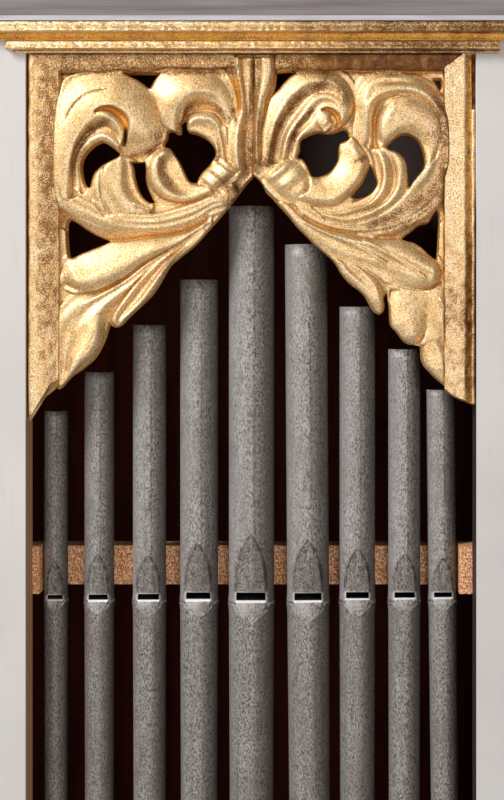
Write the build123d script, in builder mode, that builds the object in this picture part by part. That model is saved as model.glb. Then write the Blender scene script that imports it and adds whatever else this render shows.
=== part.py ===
from build123d import *
import math
import os

os.makedirs("parts", exist_ok=True)

# Case front and box, in millimetres: the front faces -Y, X = 0 is the middle of the bay, Z = 0 the floor
case_width = 432.0
case_height = 760.0
case_depth = 270.0
stile_width = 54.0
stile_thickness = 30.0
bottom_rail_height = 76.0
panel_thickness = 12.0
stile_edge_radius = 0.8

# Crown at the top of the bay, cut flush at both ends so that bays can stand side by side
crown_projection = 22.0
crown_lip = 9.0
crown_cove = 16.0
crown_fascia_relief = 3.0
crown_fascia_height = 15.0
crown_fillet_height = 3.6
crown_fillet_projection = 12.0

# Gilded cornice under the crown, its underside a drop below the roof board: a round upper band over the whole front
# and a lower band with returned ends
cornice_drop = 57.5
torus_radius = 4.7
torus_projection = 13.0
fascia_height = 5.7
fascia_projection = 4.0
ovolo_height = 7.2
ovolo_projection = 9.0
ovolo_half_length = 177.0
bottom_fillet_height = 1.8
bottom_fillet_projection = 2.5

# Gilded frame inside the opening: a frieze above and a strip down each side, with lengths below the frieze
frieze_height = 11.5
frame_proud = 1.0
frame_thickness = 12.0
strip_width = 22.5
strip_flat = 15.0
strip_chamfer_width = 4.0
strip_chamfer_drop = 3.5
left_strip_outer_length = 251.5
left_strip_inner_length = 229.0
right_strip_outer_length = 241.0
right_strip_inner_length = 228.0

# Carved shades over the tops of the pipes
shade_recess = 2.0
shade_thickness = 10.0

# Pipes from left to right: place of the axis at the mouth, outer diameter, drop of the rim below the frieze, and
# lean in degrees; the mouths are on one line below the frieze
pipe_places = [-147.0, -114.5, -77.0, -40.0, -1.0, 41.0, 77.5, 112.5, 141.0]
pipe_diameters = [17.6, 22.0, 24.6, 28.0, 33.5, 31.2, 26.5, 23.8, 21.0]
pipe_rim_drops = [248.5, 219.5, 184.5, 151.0, 97.0, 125.0, 171.0, 202.5, 232.5]
pipe_leans = [0.0, 0.0, 0.0, 0.0, 0.0, -0.37, 0.0, 0.0, -0.58]
pipe_wall = 0.9
mouth_drop = 386.0
mouth_ratio = 0.66
cut_up_ratio = 0.24
upper_lip_ratio = 1.95
lower_lip_ratio = 0.7
lip_step = 0.3
lip_bulge = 0.78
lip_bulge_place = 0.42
lip_side_clearance = 0.3
tongue_height = 2.4
languid_thickness = 1.6
solder_bead = 0.4
windway = 0.8
toe_cone_ratio = 1.0
toe_radius = 5.0

# Rail behind the pipes, its two cleats, and the board that the toes stand in
rail_front = 56.0
rail_thickness = 26.0
rail_rise = 6.5
rail_height = 29.0
rail_half_length = 184.0
rail_clearance = 0.3
left_cleat_inner = 157.0
right_cleat_inner = 152.5
cleat_outer = 176.0
cleat_overrun = 3.0
toe_board_top = 70.0
toe_board_thickness = 20.0
toe_board_depth = 66.0
toe_seat_depth = 4.0
toe_seat_clearance = 0.3
toe_lift = 0.1
toe_bore_radius = 3.0
batten_height = 24.0
batten_width = 18.0

front_face = (crown_projection - case_depth) / 2
half_width = case_width / 2
half_opening = half_width - stile_width
inner_half_width = half_width - panel_thickness
cornice_bottom = case_height - cornice_drop
crown_bottom = cornice_bottom + bottom_fillet_height + ovolo_height + fascia_height + 2 * torus_radius
crown_top = case_height + panel_thickness
frieze_bottom = cornice_bottom - frieze_height
strip_inner = half_opening - strip_width
shade_front = shade_recess
shade_back = shade_recess + shade_thickness
mouth_height = frieze_bottom - mouth_drop
toe_height = toe_board_top - toe_seat_depth + toe_lift
back_line = front_face + rail_front - rail_clearance


def facing(depth):
    """Upright plane that looks out of the front, at a depth behind the face of the stiles."""
    return Plane.XZ.offset(-(front_face + depth))


def keep(piece, name):
    """Labels a finished piece and writes it."""
    piece.part.label = name
    export_step(piece.part, "parts/" + name + ".step")


def board(left, right, front, back, bottom, top):
    """Plain board between two X, two depths behind the stiles' face and two heights."""
    with BuildPart() as piece:
        with BuildSketch(Plane.XY.offset(bottom)):
            with Locations(((left + right) / 2, front_face + (front + back) / 2)):
                Rectangle(right - left, back - front)
        extrude(amount=top - bottom)
    return piece


# Stiles and rails of the painted front, with a softened edge at the opening
def stile(side):
    """Upright of the front on one side, -1 for left and 1 for right."""
    outer = side * half_width
    inner = side * half_opening
    piece = board(min(outer, inner), max(outer, inner), 0, stile_thickness, 0, case_height)
    with piece:
        uprights = piece.edges().filter_by(Axis.Z)
        inner_edges = uprights.sort_by(Axis.X)[:2] if side > 0 else uprights.sort_by(Axis.X)[-2:]
        fillet(inner_edges.sort_by(Axis.Y)[0], radius=stile_edge_radius)
    return piece


left_stile = stile(-1)
keep(left_stile, "left_stile")
right_stile = stile(1)
keep(right_stile, "right_stile")

top_rail = board(-half_opening, half_opening, 0, stile_thickness, cornice_bottom, case_height)
keep(top_rail, "top_rail")

bottom_rail = board(-half_opening, half_opening, 0, stile_thickness, 0, bottom_rail_height)
with bottom_rail:
    top_edges = bottom_rail.edges().filter_by(Axis.X).sort_by(Axis.Z)[-2:]
    fillet(top_edges.sort_by(Axis.Y)[0], radius=stile_edge_radius)
keep(bottom_rail, "bottom_rail")

# Box behind the front: two sides, back, roof and floor
left_side_panel = board(-half_width, -inner_half_width, stile_thickness, case_depth, 0, case_height)
keep(left_side_panel, "left_side_panel")
right_side_panel = board(inner_half_width, half_width, stile_thickness, case_depth, 0, case_height)
keep(right_side_panel, "right_side_panel")
back_panel_front = case_depth - panel_thickness
back_panel = board(-inner_half_width, inner_half_width, back_panel_front, case_depth, 0, case_height)
keep(back_panel, "back_panel")
roof_board = board(-half_width, half_width, 0, case_depth, case_height, crown_top)
keep(roof_board, "roof_board")
floor_board = board(-inner_half_width, inner_half_width, stile_thickness, back_panel_front, 0, panel_thickness)
keep(floor_board, "floor_board")

# Crown moulding: a square fillet, a fascia set back, a cove and a lip under the roof's edge
with BuildPart() as crown_moulding:
    with BuildSketch(Plane.YZ):
        fascia_face = front_face - crown_fascia_relief
        fillet_top = crown_bottom + crown_fillet_height
        cove_bottom = fillet_top + crown_fascia_height
        cove_front = fascia_face - crown_cove
        with BuildLine():
            Polyline(
                (fascia_face, cove_bottom),
                (fascia_face, fillet_top),
                (front_face - crown_fillet_projection, fillet_top),
                (front_face - crown_fillet_projection, crown_bottom),
                (front_face, crown_bottom),
                (front_face, crown_top),
                (front_face - crown_projection, crown_top),
                (front_face - crown_projection, crown_top - crown_lip),
                (cove_front, crown_top - crown_lip),
                (cove_front, cove_bottom + crown_cove),
            )
            CenterArc((cove_front, cove_bottom), crown_cove, 0, 90)
        make_face()
    extrude(amount=half_width, both=True)
keep(crown_moulding, "crown_moulding")

# Cornice: the lower band's ends are cut by its own profile, which makes the mitred returns
ovolo_bottom = cornice_bottom + bottom_fillet_height
fascia_bottom = ovolo_bottom + ovolo_height
torus_bottom = fascia_bottom + fascia_height


def lower_band_outline(wall, outward):
    """Profile of the lower band from a wall: fillet, then a quarter round that swells to the top."""
    fillet_face = wall + outward * bottom_fillet_projection
    swell_face = wall + outward * ovolo_projection
    middle_face = fillet_face + (swell_face - fillet_face) * math.cos(math.pi / 4)
    middle_height = fascia_bottom - ovolo_height * math.sin(math.pi / 4)
    with BuildLine() as outline:
        Polyline(
            (swell_face, fascia_bottom),
            (wall, fascia_bottom),
            (wall, cornice_bottom),
            (fillet_face, cornice_bottom),
            (fillet_face, ovolo_bottom),
        )
        ThreePointArc((fillet_face, ovolo_bottom), (middle_face, middle_height), (swell_face, fascia_bottom))
    return outline.edges()


with BuildPart() as lower_band:
    with BuildSketch(Plane.YZ):
        make_face(lower_band_outline(front_face, -1))
    extrude(amount=ovolo_half_length, both=True)
    with BuildSketch(facing(0)):
        band_core = ovolo_half_length - ovolo_projection
        with Locations((0, (cornice_bottom + fascia_bottom) / 2)):
            Rectangle(2 * band_core, fascia_bottom - cornice_bottom)
        make_face(lower_band_outline(band_core, 1))
        make_face(lower_band_outline(-band_core, -1))
    extrude(amount=2 * ovolo_projection, mode=Mode.INTERSECT)

with BuildPart() as cornice_moulding:
    with BuildSketch(Plane.YZ):
        torus_middle = front_face - torus_projection + torus_radius
        torus_height = torus_bottom + torus_radius
        with BuildLine():
            Polyline(
                (torus_middle, torus_bottom + 2 * torus_radius),
                (front_face, torus_bottom + 2 * torus_radius),
                (front_face, fascia_bottom),
                (front_face - fascia_projection, fascia_bottom),
                (front_face - fascia_projection, torus_bottom),
                (torus_middle, torus_bottom),
            )
            CenterArc((torus_middle, torus_height), torus_radius, 90, 180)
        make_face()
    extrude(amount=half_width, both=True)
    add(lower_band.part)
keep(cornice_moulding, "cornice_moulding")


# Gilded frame: the frieze and the strips meet in mitres at the corners of the opening
def strip_section(side):
    """Section of a side strip: flat, then a chamfer down to a small round at the stile."""
    inner = side * strip_inner
    outer = side * half_opening
    face = front_face - frame_proud
    chamfer_start = inner + side * strip_flat
    chamfer_end = chamfer_start + side * strip_chamfer_width
    bead_face = face + strip_chamfer_drop
    bead = abs(outer - chamfer_end) / 2
    with BuildLine() as outline:
        Polyline(
            (chamfer_end, bead_face),
            (chamfer_start, face),
            (inner, face),
            (inner, face + frame_thickness),
            (outer, face + frame_thickness),
            (outer, bead_face),
        )
        ThreePointArc((chamfer_end, bead_face), ((chamfer_end + outer) / 2, bead_face - bead), (outer, bead_face))
    return outline.edges()


def frame_strip(side, outer_length, inner_length):
    """Side strip, mitred at its top and cut on the slope at its foot."""
    inner = side * strip_inner
    outer = side * half_opening
    outer_end = frieze_bottom - outer_length
    inner_end = frieze_bottom - inner_length
    low = min(outer_end, inner_end)
    with BuildPart() as strip:
        with BuildSketch(Plane.XY.offset(low)):
            make_face(strip_section(side))
        extrude(amount=cornice_bottom - low)
        with BuildSketch(facing(frame_thickness)):
            with BuildLine():
                Polyline(
                    (outer, cornice_bottom),
                    (inner, frieze_bottom),
                    (inner, inner_end),
                    (outer, outer_end),
                    (outer, cornice_bottom),
                )
            make_face()
        extrude(amount=2 * frame_thickness, mode=Mode.INTERSECT)
    return strip


left_frame_strip = frame_strip(-1, left_strip_outer_length, left_strip_inner_length)
keep(left_frame_strip, "left_frame_strip")
right_frame_strip = frame_strip(1, right_strip_outer_length, right_strip_inner_length)
keep(right_frame_strip, "right_frame_strip")

with BuildPart() as frieze_strip:
    with BuildSketch(facing(frame_thickness - frame_proud)):
        with BuildLine():
            Polyline(
                (-half_opening, cornice_bottom),
                (-strip_inner, frieze_bottom),
                (strip_inner, frieze_bottom),
                (half_opening, cornice_bottom),
                (-half_opening, cornice_bottom),
            )
        make_face()
    extrude(amount=frame_thickness)
keep(frieze_strip, "frieze_strip")


# Carved shades: a pierced board with raised leaves. Outline points are shares of the frame's inner half width, across
# from the middle and down from the frieze.
def closed_outline(*runs):
    """Closed outline of runs: an arc through each next two points, and a straight line to a last one left over."""
    with BuildLine() as outline:
        for run in runs:
            points = [(strip_inner * across, frieze_bottom - strip_inner * down) for across, down in run]
            for first in range(0, len(points) - 2, 2):
                ThreePointArc(*points[first : first + 3])
            if len(points) % 2 == 0:
                Line(*points[-2:])
    return outline.edges()


def carved_shade(border, piercings, leaves):
    """Board with the border's outline, cut through by the piercings, with leaves of their own height."""
    with BuildPart() as shade:
        with BuildSketch(facing(shade_back)) as board_outline:
            make_face(closed_outline(*border))
        extrude(amount=shade_thickness)
        for height, runs in leaves:
            with BuildSketch(facing(shade_front)):
                make_face(closed_outline(*runs))
                add(board_outline.sketch_local, mode=Mode.INTERSECT)
            extrude(amount=height)
        with BuildSketch(facing(shade_back)):
            for runs in piercings:
                make_face(closed_outline(*runs))
        extrude(amount=2 * shade_thickness, mode=Mode.SUBTRACT)
    return shade


joint_top = (0.043, 0)
joint_bottom = (0.01, 0.545)
left_top = (-1, 0)
left_foot = (-1, left_strip_inner_length / strip_inner)
left_notch = (-0.731, 1.308)

left_border = [
    [joint_top, (0.057, 0.222), joint_bottom],
    [joint_bottom, (-0.082, 0.663), (-0.19, 0.792), (-0.294, 0.932), (-0.419, 1.039), (-0.52, 1.176),
     (-0.634, 1.283), (-0.695, 1.332), left_notch],
    [left_notch, (-0.756, 1.384), (-0.821, 1.484), (-0.932, 1.581), left_foot],
    [left_foot, left_top],
    [left_top, joint_top],
]

left_piercings = [
    [[(-0.652, 0.022), (-0.47, 0.022)], [(-0.47, 0.022), (-0.498, 0.057), (-0.523, 0.097)],
     [(-0.523, 0.097), (-0.573, 0.061), (-0.652, 0.022)]],
    [[(-0.674, 0.437), (-0.763, 0.495), (-0.816, 0.552), (-0.835, 0.613)],
     [(-0.835, 0.613), (-0.871, 0.559), (-0.875, 0.48), (-0.832, 0.405), (-0.763, 0.376), (-0.674, 0.437)]],
    [[(-0.616, 0.477), (-0.547, 0.477)], [(-0.547, 0.477), (-0.543, 0.566), (-0.495, 0.688)],
     [(-0.495, 0.688), (-0.559, 0.663), (-0.599, 0.573), (-0.616, 0.477)]],
    [[(-0.355, 0.272), (-0.33, 0.269)],
     [(-0.33, 0.269), (-0.315, 0.326), (-0.237, 0.355), (-0.186, 0.423), (-0.219, 0.502), (-0.28, 0.588)],
     [(-0.28, 0.588), (-0.326, 0.57), (-0.369, 0.48), (-0.444, 0.398)],
     [(-0.444, 0.398), (-0.42, 0.338)], [(-0.42, 0.338), (-0.362, 0.33)], [(-0.362, 0.33), (-0.355, 0.272)]],
    [[(-0.95, 0.781), (-0.842, 0.835), (-0.724, 0.889)],
     [(-0.724, 0.889), (-0.821, 0.928), (-0.939, 0.971)], [(-0.939, 0.971), (-0.95, 0.781)]],
]

left_leaves = [
    (6.5, [[(-0.982, 0.667), (-0.982, 0.351), (-0.943, 0.151), (-0.867, 0.047), (-0.746, 0.022), (-0.616, 0.05),
            (-0.516, 0.14), (-0.466, 0.258), (-0.452, 0.358), (-0.53, 0.416), (-0.645, 0.452)],
           [(-0.645, 0.452), (-0.731, 0.38), (-0.81, 0.384), (-0.875, 0.466), (-0.875, 0.566), (-0.832, 0.645)],
           [(-0.832, 0.645), (-0.982, 0.667)]]),
    (5.5, [[(-0.513, 0.108), (-0.466, 0.036), (-0.344, 0.007), (-0.201, 0.007), (-0.108, 0.05)],
           [(-0.108, 0.05), (-0.179, 0.194), (-0.258, 0.201), (-0.33, 0.208), (-0.358, 0.28), (-0.416, 0.326),
            (-0.48, 0.287), (-0.513, 0.108)]]),
    (4.5, [[(-0.33, 0.258), (-0.265, 0.222), (-0.186, 0.251), (-0.133, 0.33), (-0.108, 0.444)],
           [(-0.108, 0.444), (-0.179, 0.452), (-0.201, 0.38), (-0.272, 0.33), (-0.33, 0.258)]]),
    (3.0, [[(-0.065, 0.007), (-0.075, 0.294), (-0.043, 0.466), (0.007, 0.538)],
           [(0.007, 0.538), (0.05, 0.366), (0.043, 0.007)], [(0.043, 0.007), (-0.065, 0.007)]]),
    (7.0, [[(-0.272, 0.559), (-0.186, 0.48), (-0.1, 0.566)], [(-0.1, 0.566), (-0.194, 0.638), (-0.272, 0.559)]]),
    (5.0, [[(-0.538, 0.545), (-0.516, 0.452), (-0.444, 0.405), (-0.38, 0.459), (-0.333, 0.559), (-0.222, 0.631)],
           [(-0.222, 0.631), (-0.358, 0.706), (-0.487, 0.681), (-0.538, 0.545)]]),
    (5.5, [[(-0.832, 0.624), (-0.789, 0.509), (-0.688, 0.452), (-0.616, 0.48)],
           [(-0.616, 0.48), (-0.602, 0.595), (-0.545, 0.681), (-0.645, 0.746), (-0.774, 0.724), (-0.832, 0.624)]]),
    (6.0, [[(-0.975, 0.667), (-0.789, 0.717), (-0.616, 0.749), (-0.416, 0.746), (-0.272, 0.695), (-0.158, 0.609)],
           [(-0.158, 0.609), (-0.115, 0.667), (-0.244, 0.774), (-0.416, 0.828), (-0.631, 0.835), (-0.803, 0.803),
            (-0.975, 0.753)], [(-0.975, 0.753), (-0.975, 0.667)]]),
    (4.5, [[(-0.272, 0.839), (-0.43, 0.864), (-0.724, 0.896), (-0.882, 0.964), (-0.978, 1.032)],
           [(-0.978, 1.032), (-0.946, 1.111), (-0.857, 1.136), (-0.717, 1.082), (-0.52, 0.968), (-0.373, 0.896),
            (-0.272, 0.839)]]),
    (5.0, [[(-0.344, 0.939), (-0.523, 1.061), (-0.667, 1.19), (-0.71, 1.29)],
           [(-0.71, 1.29), (-0.674, 1.308), (-0.53, 1.158), (-0.437, 1.043), (-0.344, 0.939)]]),
    (5.0, [[(-0.832, 1.147), (-0.925, 1.197), (-0.986, 1.333), (-0.986, 1.513)],
           [(-0.986, 1.513), (-0.867, 1.491), (-0.774, 1.391), (-0.746, 1.262), (-0.832, 1.147)]]),
]

right_top = (1, 0)
right_foot = (1, right_strip_inner_length / strip_inner)
right_notch_outer = (0.708, 1.176)
right_notch_inner = (0.688, 1.176)
right_lobe = (0.872, 1.427)

right_border = [
    [joint_bottom, (0.057, 0.222), joint_top],
    [joint_top, right_top],
    [right_top, right_foot],
    [right_foot, (0.925, 1.566), (0.88, 1.495), right_lobe],
    [right_lobe, (0.806, 1.417), (0.728, 1.33), right_notch_outer],
    [right_notch_outer, (0.698, 1.151), right_notch_inner],
    [right_notch_inner, (0.681, 1.244), (0.652, 1.269), (0.616, 1.222), (0.552, 1.14), (0.47, 1.061), (0.405, 0.971),
     (0.276, 0.853), (0.151, 0.71), (0.075, 0.631), joint_bottom],
]

right_piercings = [
    [[(0.134, 0.014), (0.222, 0.014)], [(0.222, 0.014), (0.171, 0.072), (0.108, 0.14)],
     [(0.108, 0.14), (0.128, 0.079), (0.134, 0.014)]],
    [[(0.237, 0.452), (0.254, 0.384), (0.315, 0.33), (0.43, 0.326), (0.48, 0.308), (0.513, 0.355)],
     [(0.513, 0.355), (0.455, 0.394), (0.448, 0.466), (0.401, 0.534), (0.315, 0.552)],
     [(0.315, 0.552), (0.287, 0.495), (0.237, 0.452)]],
    [[(0.695, 0.401), (0.753, 0.348), (0.81, 0.333), (0.875, 0.38), (0.9, 0.473), (0.867, 0.541),
      (0.817, 0.609)],
     [(0.817, 0.609), (0.803, 0.502), (0.767, 0.434), (0.695, 0.401)]],
    [[(0.614, 0.491), (0.649, 0.581), (0.624, 0.634), (0.523, 0.663)], [(0.523, 0.663), (0.581, 0.581), (0.614, 0.491)]],
    [[(0.774, 0.875), (0.875, 0.803), (0.961, 0.72)], [(0.961, 0.72), (0.969, 0.846), (0.961, 0.982)],
     [(0.961, 0.982), (0.875, 0.918), (0.774, 0.875)]],
]

right_leaves = [
    (6.5, [[(0.065, 0.366), (0.086, 0.222), (0.158, 0.108), (0.272, 0.032), (0.394, 0.014), (0.495, 0.05),
            (0.53, 0.151), (0.509, 0.265), (0.444, 0.312)],
           [(0.444, 0.312), (0.323, 0.319), (0.251, 0.38), (0.233, 0.452)], [(0.233, 0.452), (0.143, 0.495), (0.065, 0.366)]]),
    (6.0, [[(0.548, 0.208), (0.595, 0.079), (0.703, 0.022), (0.86, 0.043), (0.961, 0.129), (0.989, 0.294),
            (0.989, 0.509), (0.932, 0.624)],
           [(0.932, 0.624), (0.832, 0.624), (0.889, 0.53), (0.903, 0.437), (0.86, 0.351), (0.767, 0.33),
            (0.688, 0.384)], [(0.688, 0.384), (0.616, 0.323), (0.548, 0.208)]]),
    (7.0, [[(0.09, 0.566), (0.129, 0.48), (0.215, 0.452), (0.287, 0.509)],
           [(0.287, 0.509), (0.258, 0.595), (0.143, 0.652), (0.09, 0.566)]]),
    (5.5, [[(0.287, 0.523), (0.401, 0.548), (0.452, 0.459), (0.473, 0.38), (0.53, 0.362), (0.606, 0.452),
            (0.588, 0.566), (0.523, 0.659)],
           [(0.523, 0.659), (0.43, 0.71), (0.315, 0.703), (0.244, 0.638), (0.287, 0.523)]]),
    (5.5, [[(0.62, 0.409), (0.695, 0.409), (0.774, 0.444), (0.81, 0.552), (0.81, 0.631)],
           [(0.81, 0.631), (0.688, 0.724), (0.516, 0.767), (0.33, 0.774)],
           [(0.33, 0.774), (0.516, 0.681), (0.631, 0.638), (0.652, 0.566), (0.62, 0.409)]]),
    (4.5, [[(0.975, 0.638), (0.86, 0.724), (0.717, 0.799), (0.545, 0.81), (0.33, 0.789)],
           [(0.33, 0.789), (0.516, 0.857), (0.717, 0.864), (0.86, 0.796), (0.975, 0.695)],
           [(0.975, 0.695), (0.975, 0.638)]]),
    (5.5, [[(0.43, 0.853), (0.616, 0.882), (0.774, 0.896), (0.903, 0.968), (0.982, 1.039), (0.961, 1.118)],
           [(0.961, 1.118), (0.832, 1.118), (0.645, 1.011), (0.43, 0.853)]]),
    (4.0, [[(0.459, 0.939), (0.602, 1.032), (0.681, 1.14), (0.674, 1.247)],
           [(0.674, 1.247), (0.602, 1.19), (0.487, 1.061), (0.459, 0.939)]]),
    (4.5, [[(0.717, 1.097), (0.817, 1.133), (0.889, 1.262), (0.86, 1.398)],
           [(0.86, 1.398), (0.774, 1.38), (0.724, 1.297), (0.717, 1.097)]]),
    (4.0, [[(0.918, 1.154), (0.986, 1.226), (0.993, 1.405), (0.986, 1.599)],
           [(0.986, 1.599), (0.903, 1.513), (0.889, 1.369), (0.918, 1.154)]]),
]

left_pipe_shade = carved_shade(left_border, left_piercings, left_leaves)
keep(left_pipe_shade, "left_pipe_shade")
right_pipe_shade = carved_shade(right_border, right_piercings, right_leaves)
keep(right_pipe_shade, "right_pipe_shade")


# Pipes: each is made upright with its toe at the origin, then leans about the toe in its place
def tube_wedge(radius, half_mouth, base, tip, inset):
    """What a flat lip takes off a round tube: a leaf outline between the tube's front and a leaning plane.

    The plane cuts the tube on a chord as wide as the mouth at the base and barely enters it at the tip.
    """
    chord_depth = radius - math.sqrt(radius**2 - half_mouth**2)
    front = -radius - 1.0
    side = half_mouth + inset
    reach = tip + math.copysign(inset, tip - base)
    with BuildPart() as wedge:
        with BuildSketch(Plane.YZ):
            with BuildLine():
                Polyline(
                    (front, base),
                    (-radius + chord_depth + inset, base),
                    (-radius + lip_step + inset, reach),
                    (front, reach),
                    (front, base),
                )
            make_face()
        extrude(amount=side, both=True)
        with BuildSketch(Plane.XZ):
            bulge = base + (reach - base) * lip_bulge_place
            with BuildLine():
                ThreePointArc((-side, base), (-side * lip_bulge, bulge), (0, reach))
                ThreePointArc((0, reach), (side * lip_bulge, bulge), (side, base))
                Line((side, base), (-side, base))
            make_face()
        extrude(amount=2 * radius, mode=Mode.INTERSECT)
    return wedge


def pipe_pieces(diameter, rim_drop):
    """Body, foot and languid of one pipe, heights measured from its toe."""
    radius = diameter / 2
    bore = radius - pipe_wall
    half_mouth = mouth_ratio * radius
    mouth_width = 2 * half_mouth
    mouth = mouth_height - toe_height
    joint = mouth - tongue_height - languid_thickness
    upper_lip = mouth + cut_up_ratio * mouth_width
    leaf_tip = upper_lip + upper_lip_ratio * mouth_width
    lower_tip = mouth - lower_lip_ratio * mouth_width
    chord_depth = radius - math.sqrt(radius**2 - half_mouth**2)
    rim = frieze_bottom - rim_drop - toe_height
    cone_height = toe_cone_ratio * diameter

    upper_outside = tube_wedge(radius, half_mouth, upper_lip, leaf_tip, 0)
    upper_inside = tube_wedge(radius, half_mouth, upper_lip, leaf_tip, pipe_wall)
    with BuildPart() as body_bore:
        with BuildSketch(Plane.XY.offset(joint)):
            Circle(bore)
        extrude(amount=rim - joint + 1)
        add(upper_inside.part, mode=Mode.SUBTRACT)
    with BuildPart() as body:
        with BuildSketch(Plane.XY.offset(joint + languid_thickness)):
            Circle(radius)
        extrude(amount=rim - joint - languid_thickness)
        add(upper_outside.part, mode=Mode.SUBTRACT)
        add(body_bore.part, mode=Mode.SUBTRACT)
        with BuildSketch(Plane.XY.offset(joint + languid_thickness)):
            with Locations((0, -radius)):
                Rectangle(mouth_width, 2 * (chord_depth + pipe_wall + windway))
        extrude(amount=upper_lip - joint - languid_thickness, mode=Mode.SUBTRACT)

    lower_outside = tube_wedge(radius, half_mouth, mouth, lower_tip, 0)
    lower_inside = tube_wedge(radius, half_mouth, mouth, lower_tip, pipe_wall)
    with BuildPart() as foot_bore:
        with BuildSketch(Plane.XZ):
            with BuildLine():
                Polyline(
                    (0, -1),
                    (toe_radius - pipe_wall, -1),
                    (toe_radius - pipe_wall, 0),
                    (bore, cone_height),
                    (bore, mouth + 1),
                    (0, mouth + 1),
                    (0, -1),
                )
            make_face()
        revolve(axis=Axis.Z)
        add(lower_inside.part, mode=Mode.SUBTRACT)
    with BuildPart() as foot:
        with BuildSketch(Plane.XZ):
            with BuildLine():
                Polyline(
                    (0, 0),
                    (toe_radius, 0),
                    (radius, cone_height),
                    (radius, mouth),
                    (0, mouth),
                    (0, 0),
                )
            make_face()
        revolve(axis=Axis.Z)
        add(lower_outside.part, mode=Mode.SUBTRACT)
        add(foot_bore.part, mode=Mode.SUBTRACT)
        with BuildSketch(Plane.XY.offset(joint)):
            Circle(radius + 1)
            with Locations((0, -radius)):
                tongue_width = mouth_width - 2 * lip_side_clearance
                Rectangle(tongue_width, 2 * (chord_depth + pipe_wall), mode=Mode.SUBTRACT)
        extrude(amount=mouth - joint + 1, mode=Mode.SUBTRACT)

    with BuildPart() as languid:
        with BuildSketch(Plane.XY.offset(joint)):
            Circle(radius + solder_bead)
            with Locations((0, -radius)):
                Rectangle(diameter, 2 * (chord_depth + pipe_wall + windway), mode=Mode.SUBTRACT)
        extrude(amount=languid_thickness)
    return body, foot, languid


def toe_place(number):
    """X and Y of a pipe's toe, with its back just clear of the rail."""
    lean = math.tan(math.radians(pipe_leans[number]))
    radius = pipe_diameters[number] / 2
    return (pipe_places[number] - (mouth_height - toe_height) * lean, back_line - radius)


languid_solids = []
for number in range(len(pipe_places)):
    toe_x, toe_y = toe_place(number)
    place = Location((toe_x, toe_y, toe_height), (0, pipe_leans[number], 0))
    body, foot, languid = pipe_pieces(pipe_diameters[number], pipe_rim_drops[number])
    with BuildPart() as pipe_body:
        add(body.part.moved(place))
    keep(pipe_body, "pipe_body_" + str(number + 1))
    with BuildPart() as pipe_foot:
        add(foot.part.moved(place))
    keep(pipe_foot, "pipe_foot_" + str(number + 1))
    languid_solids.append(languid.part.moved(place))

with BuildPart() as languids:
    for solid in languid_solids:
        add(solid)
keep(languids, "languids")

# Rail at the backs of the pipes, held off the stiles by a cleat at each end
rail_bottom = mouth_height + rail_rise
rail_top = rail_bottom + rail_height
pipe_rail = board(
    -rail_half_length,
    rail_half_length,
    rail_front,
    rail_front + rail_thickness,
    rail_bottom,
    rail_top,
)
keep(pipe_rail, "pipe_rail")
left_rail_cleat = board(
    -cleat_outer,
    -left_cleat_inner,
    stile_thickness,
    rail_front,
    rail_bottom - cleat_overrun,
    rail_top + cleat_overrun,
)
keep(left_rail_cleat, "left_rail_cleat")
right_rail_cleat = board(
    right_cleat_inner,
    cleat_outer,
    stile_thickness,
    rail_front,
    rail_bottom - cleat_overrun,
    rail_top + cleat_overrun,
)
keep(right_rail_cleat, "right_rail_cleat")

# Toe board with a seat and a wind hole for each pipe, on two battens
toe_board_bottom = toe_board_top - toe_board_thickness
toe_board_back = stile_thickness + toe_board_depth
toe_board = board(
    -inner_half_width,
    inner_half_width,
    stile_thickness,
    toe_board_back,
    toe_board_bottom,
    toe_board_top,
)
with toe_board:
    for number in range(len(pipe_places)):
        toe_x, toe_y = toe_place(number)
        cone_height = toe_cone_ratio * pipe_diameters[number]
        seat_radius = toe_radius + (pipe_diameters[number] / 2 - toe_radius) * toe_seat_depth / cone_height
        with Locations((toe_x, toe_y, toe_board_top)):
            CounterBoreHole(toe_bore_radius, seat_radius + toe_seat_clearance, toe_seat_depth)
keep(toe_board, "toe_board")

left_toe_batten = board(
    -inner_half_width,
    batten_width - inner_half_width,
    stile_thickness,
    toe_board_back,
    toe_board_bottom - batten_height,
    toe_board_bottom,
)
keep(left_toe_batten, "left_toe_batten")
right_toe_batten = board(
    inner_half_width - batten_width,
    inner_half_width,
    stile_thickness,
    toe_board_back,
    toe_board_bottom - batten_height,
    toe_board_bottom,
)
keep(right_toe_batten, "right_toe_batten")
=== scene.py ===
import math
import bpy
import numpy as np
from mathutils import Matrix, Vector


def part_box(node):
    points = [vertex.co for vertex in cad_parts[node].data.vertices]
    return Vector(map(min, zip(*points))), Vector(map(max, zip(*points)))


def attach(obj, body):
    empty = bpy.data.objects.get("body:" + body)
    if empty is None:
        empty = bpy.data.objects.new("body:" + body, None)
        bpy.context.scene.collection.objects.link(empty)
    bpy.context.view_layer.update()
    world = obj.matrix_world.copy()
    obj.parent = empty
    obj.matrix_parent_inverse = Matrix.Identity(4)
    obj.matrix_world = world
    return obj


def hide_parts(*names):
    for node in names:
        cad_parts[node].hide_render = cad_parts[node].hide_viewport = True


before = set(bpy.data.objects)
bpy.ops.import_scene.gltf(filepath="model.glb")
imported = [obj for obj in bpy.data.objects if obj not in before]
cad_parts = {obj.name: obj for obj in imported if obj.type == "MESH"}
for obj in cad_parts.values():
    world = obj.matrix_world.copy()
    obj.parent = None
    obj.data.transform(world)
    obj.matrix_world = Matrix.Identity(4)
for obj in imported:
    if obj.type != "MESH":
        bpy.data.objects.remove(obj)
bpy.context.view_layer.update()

# The studio: a pale floor under the case, a pale surround, one broad lamp from the upper left and a weak
# fill. The camera stands level before the case, a little to the right, at the height of the pipes' tops;
# its frame is shifted left and down so that upright edges stay upright.


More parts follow.
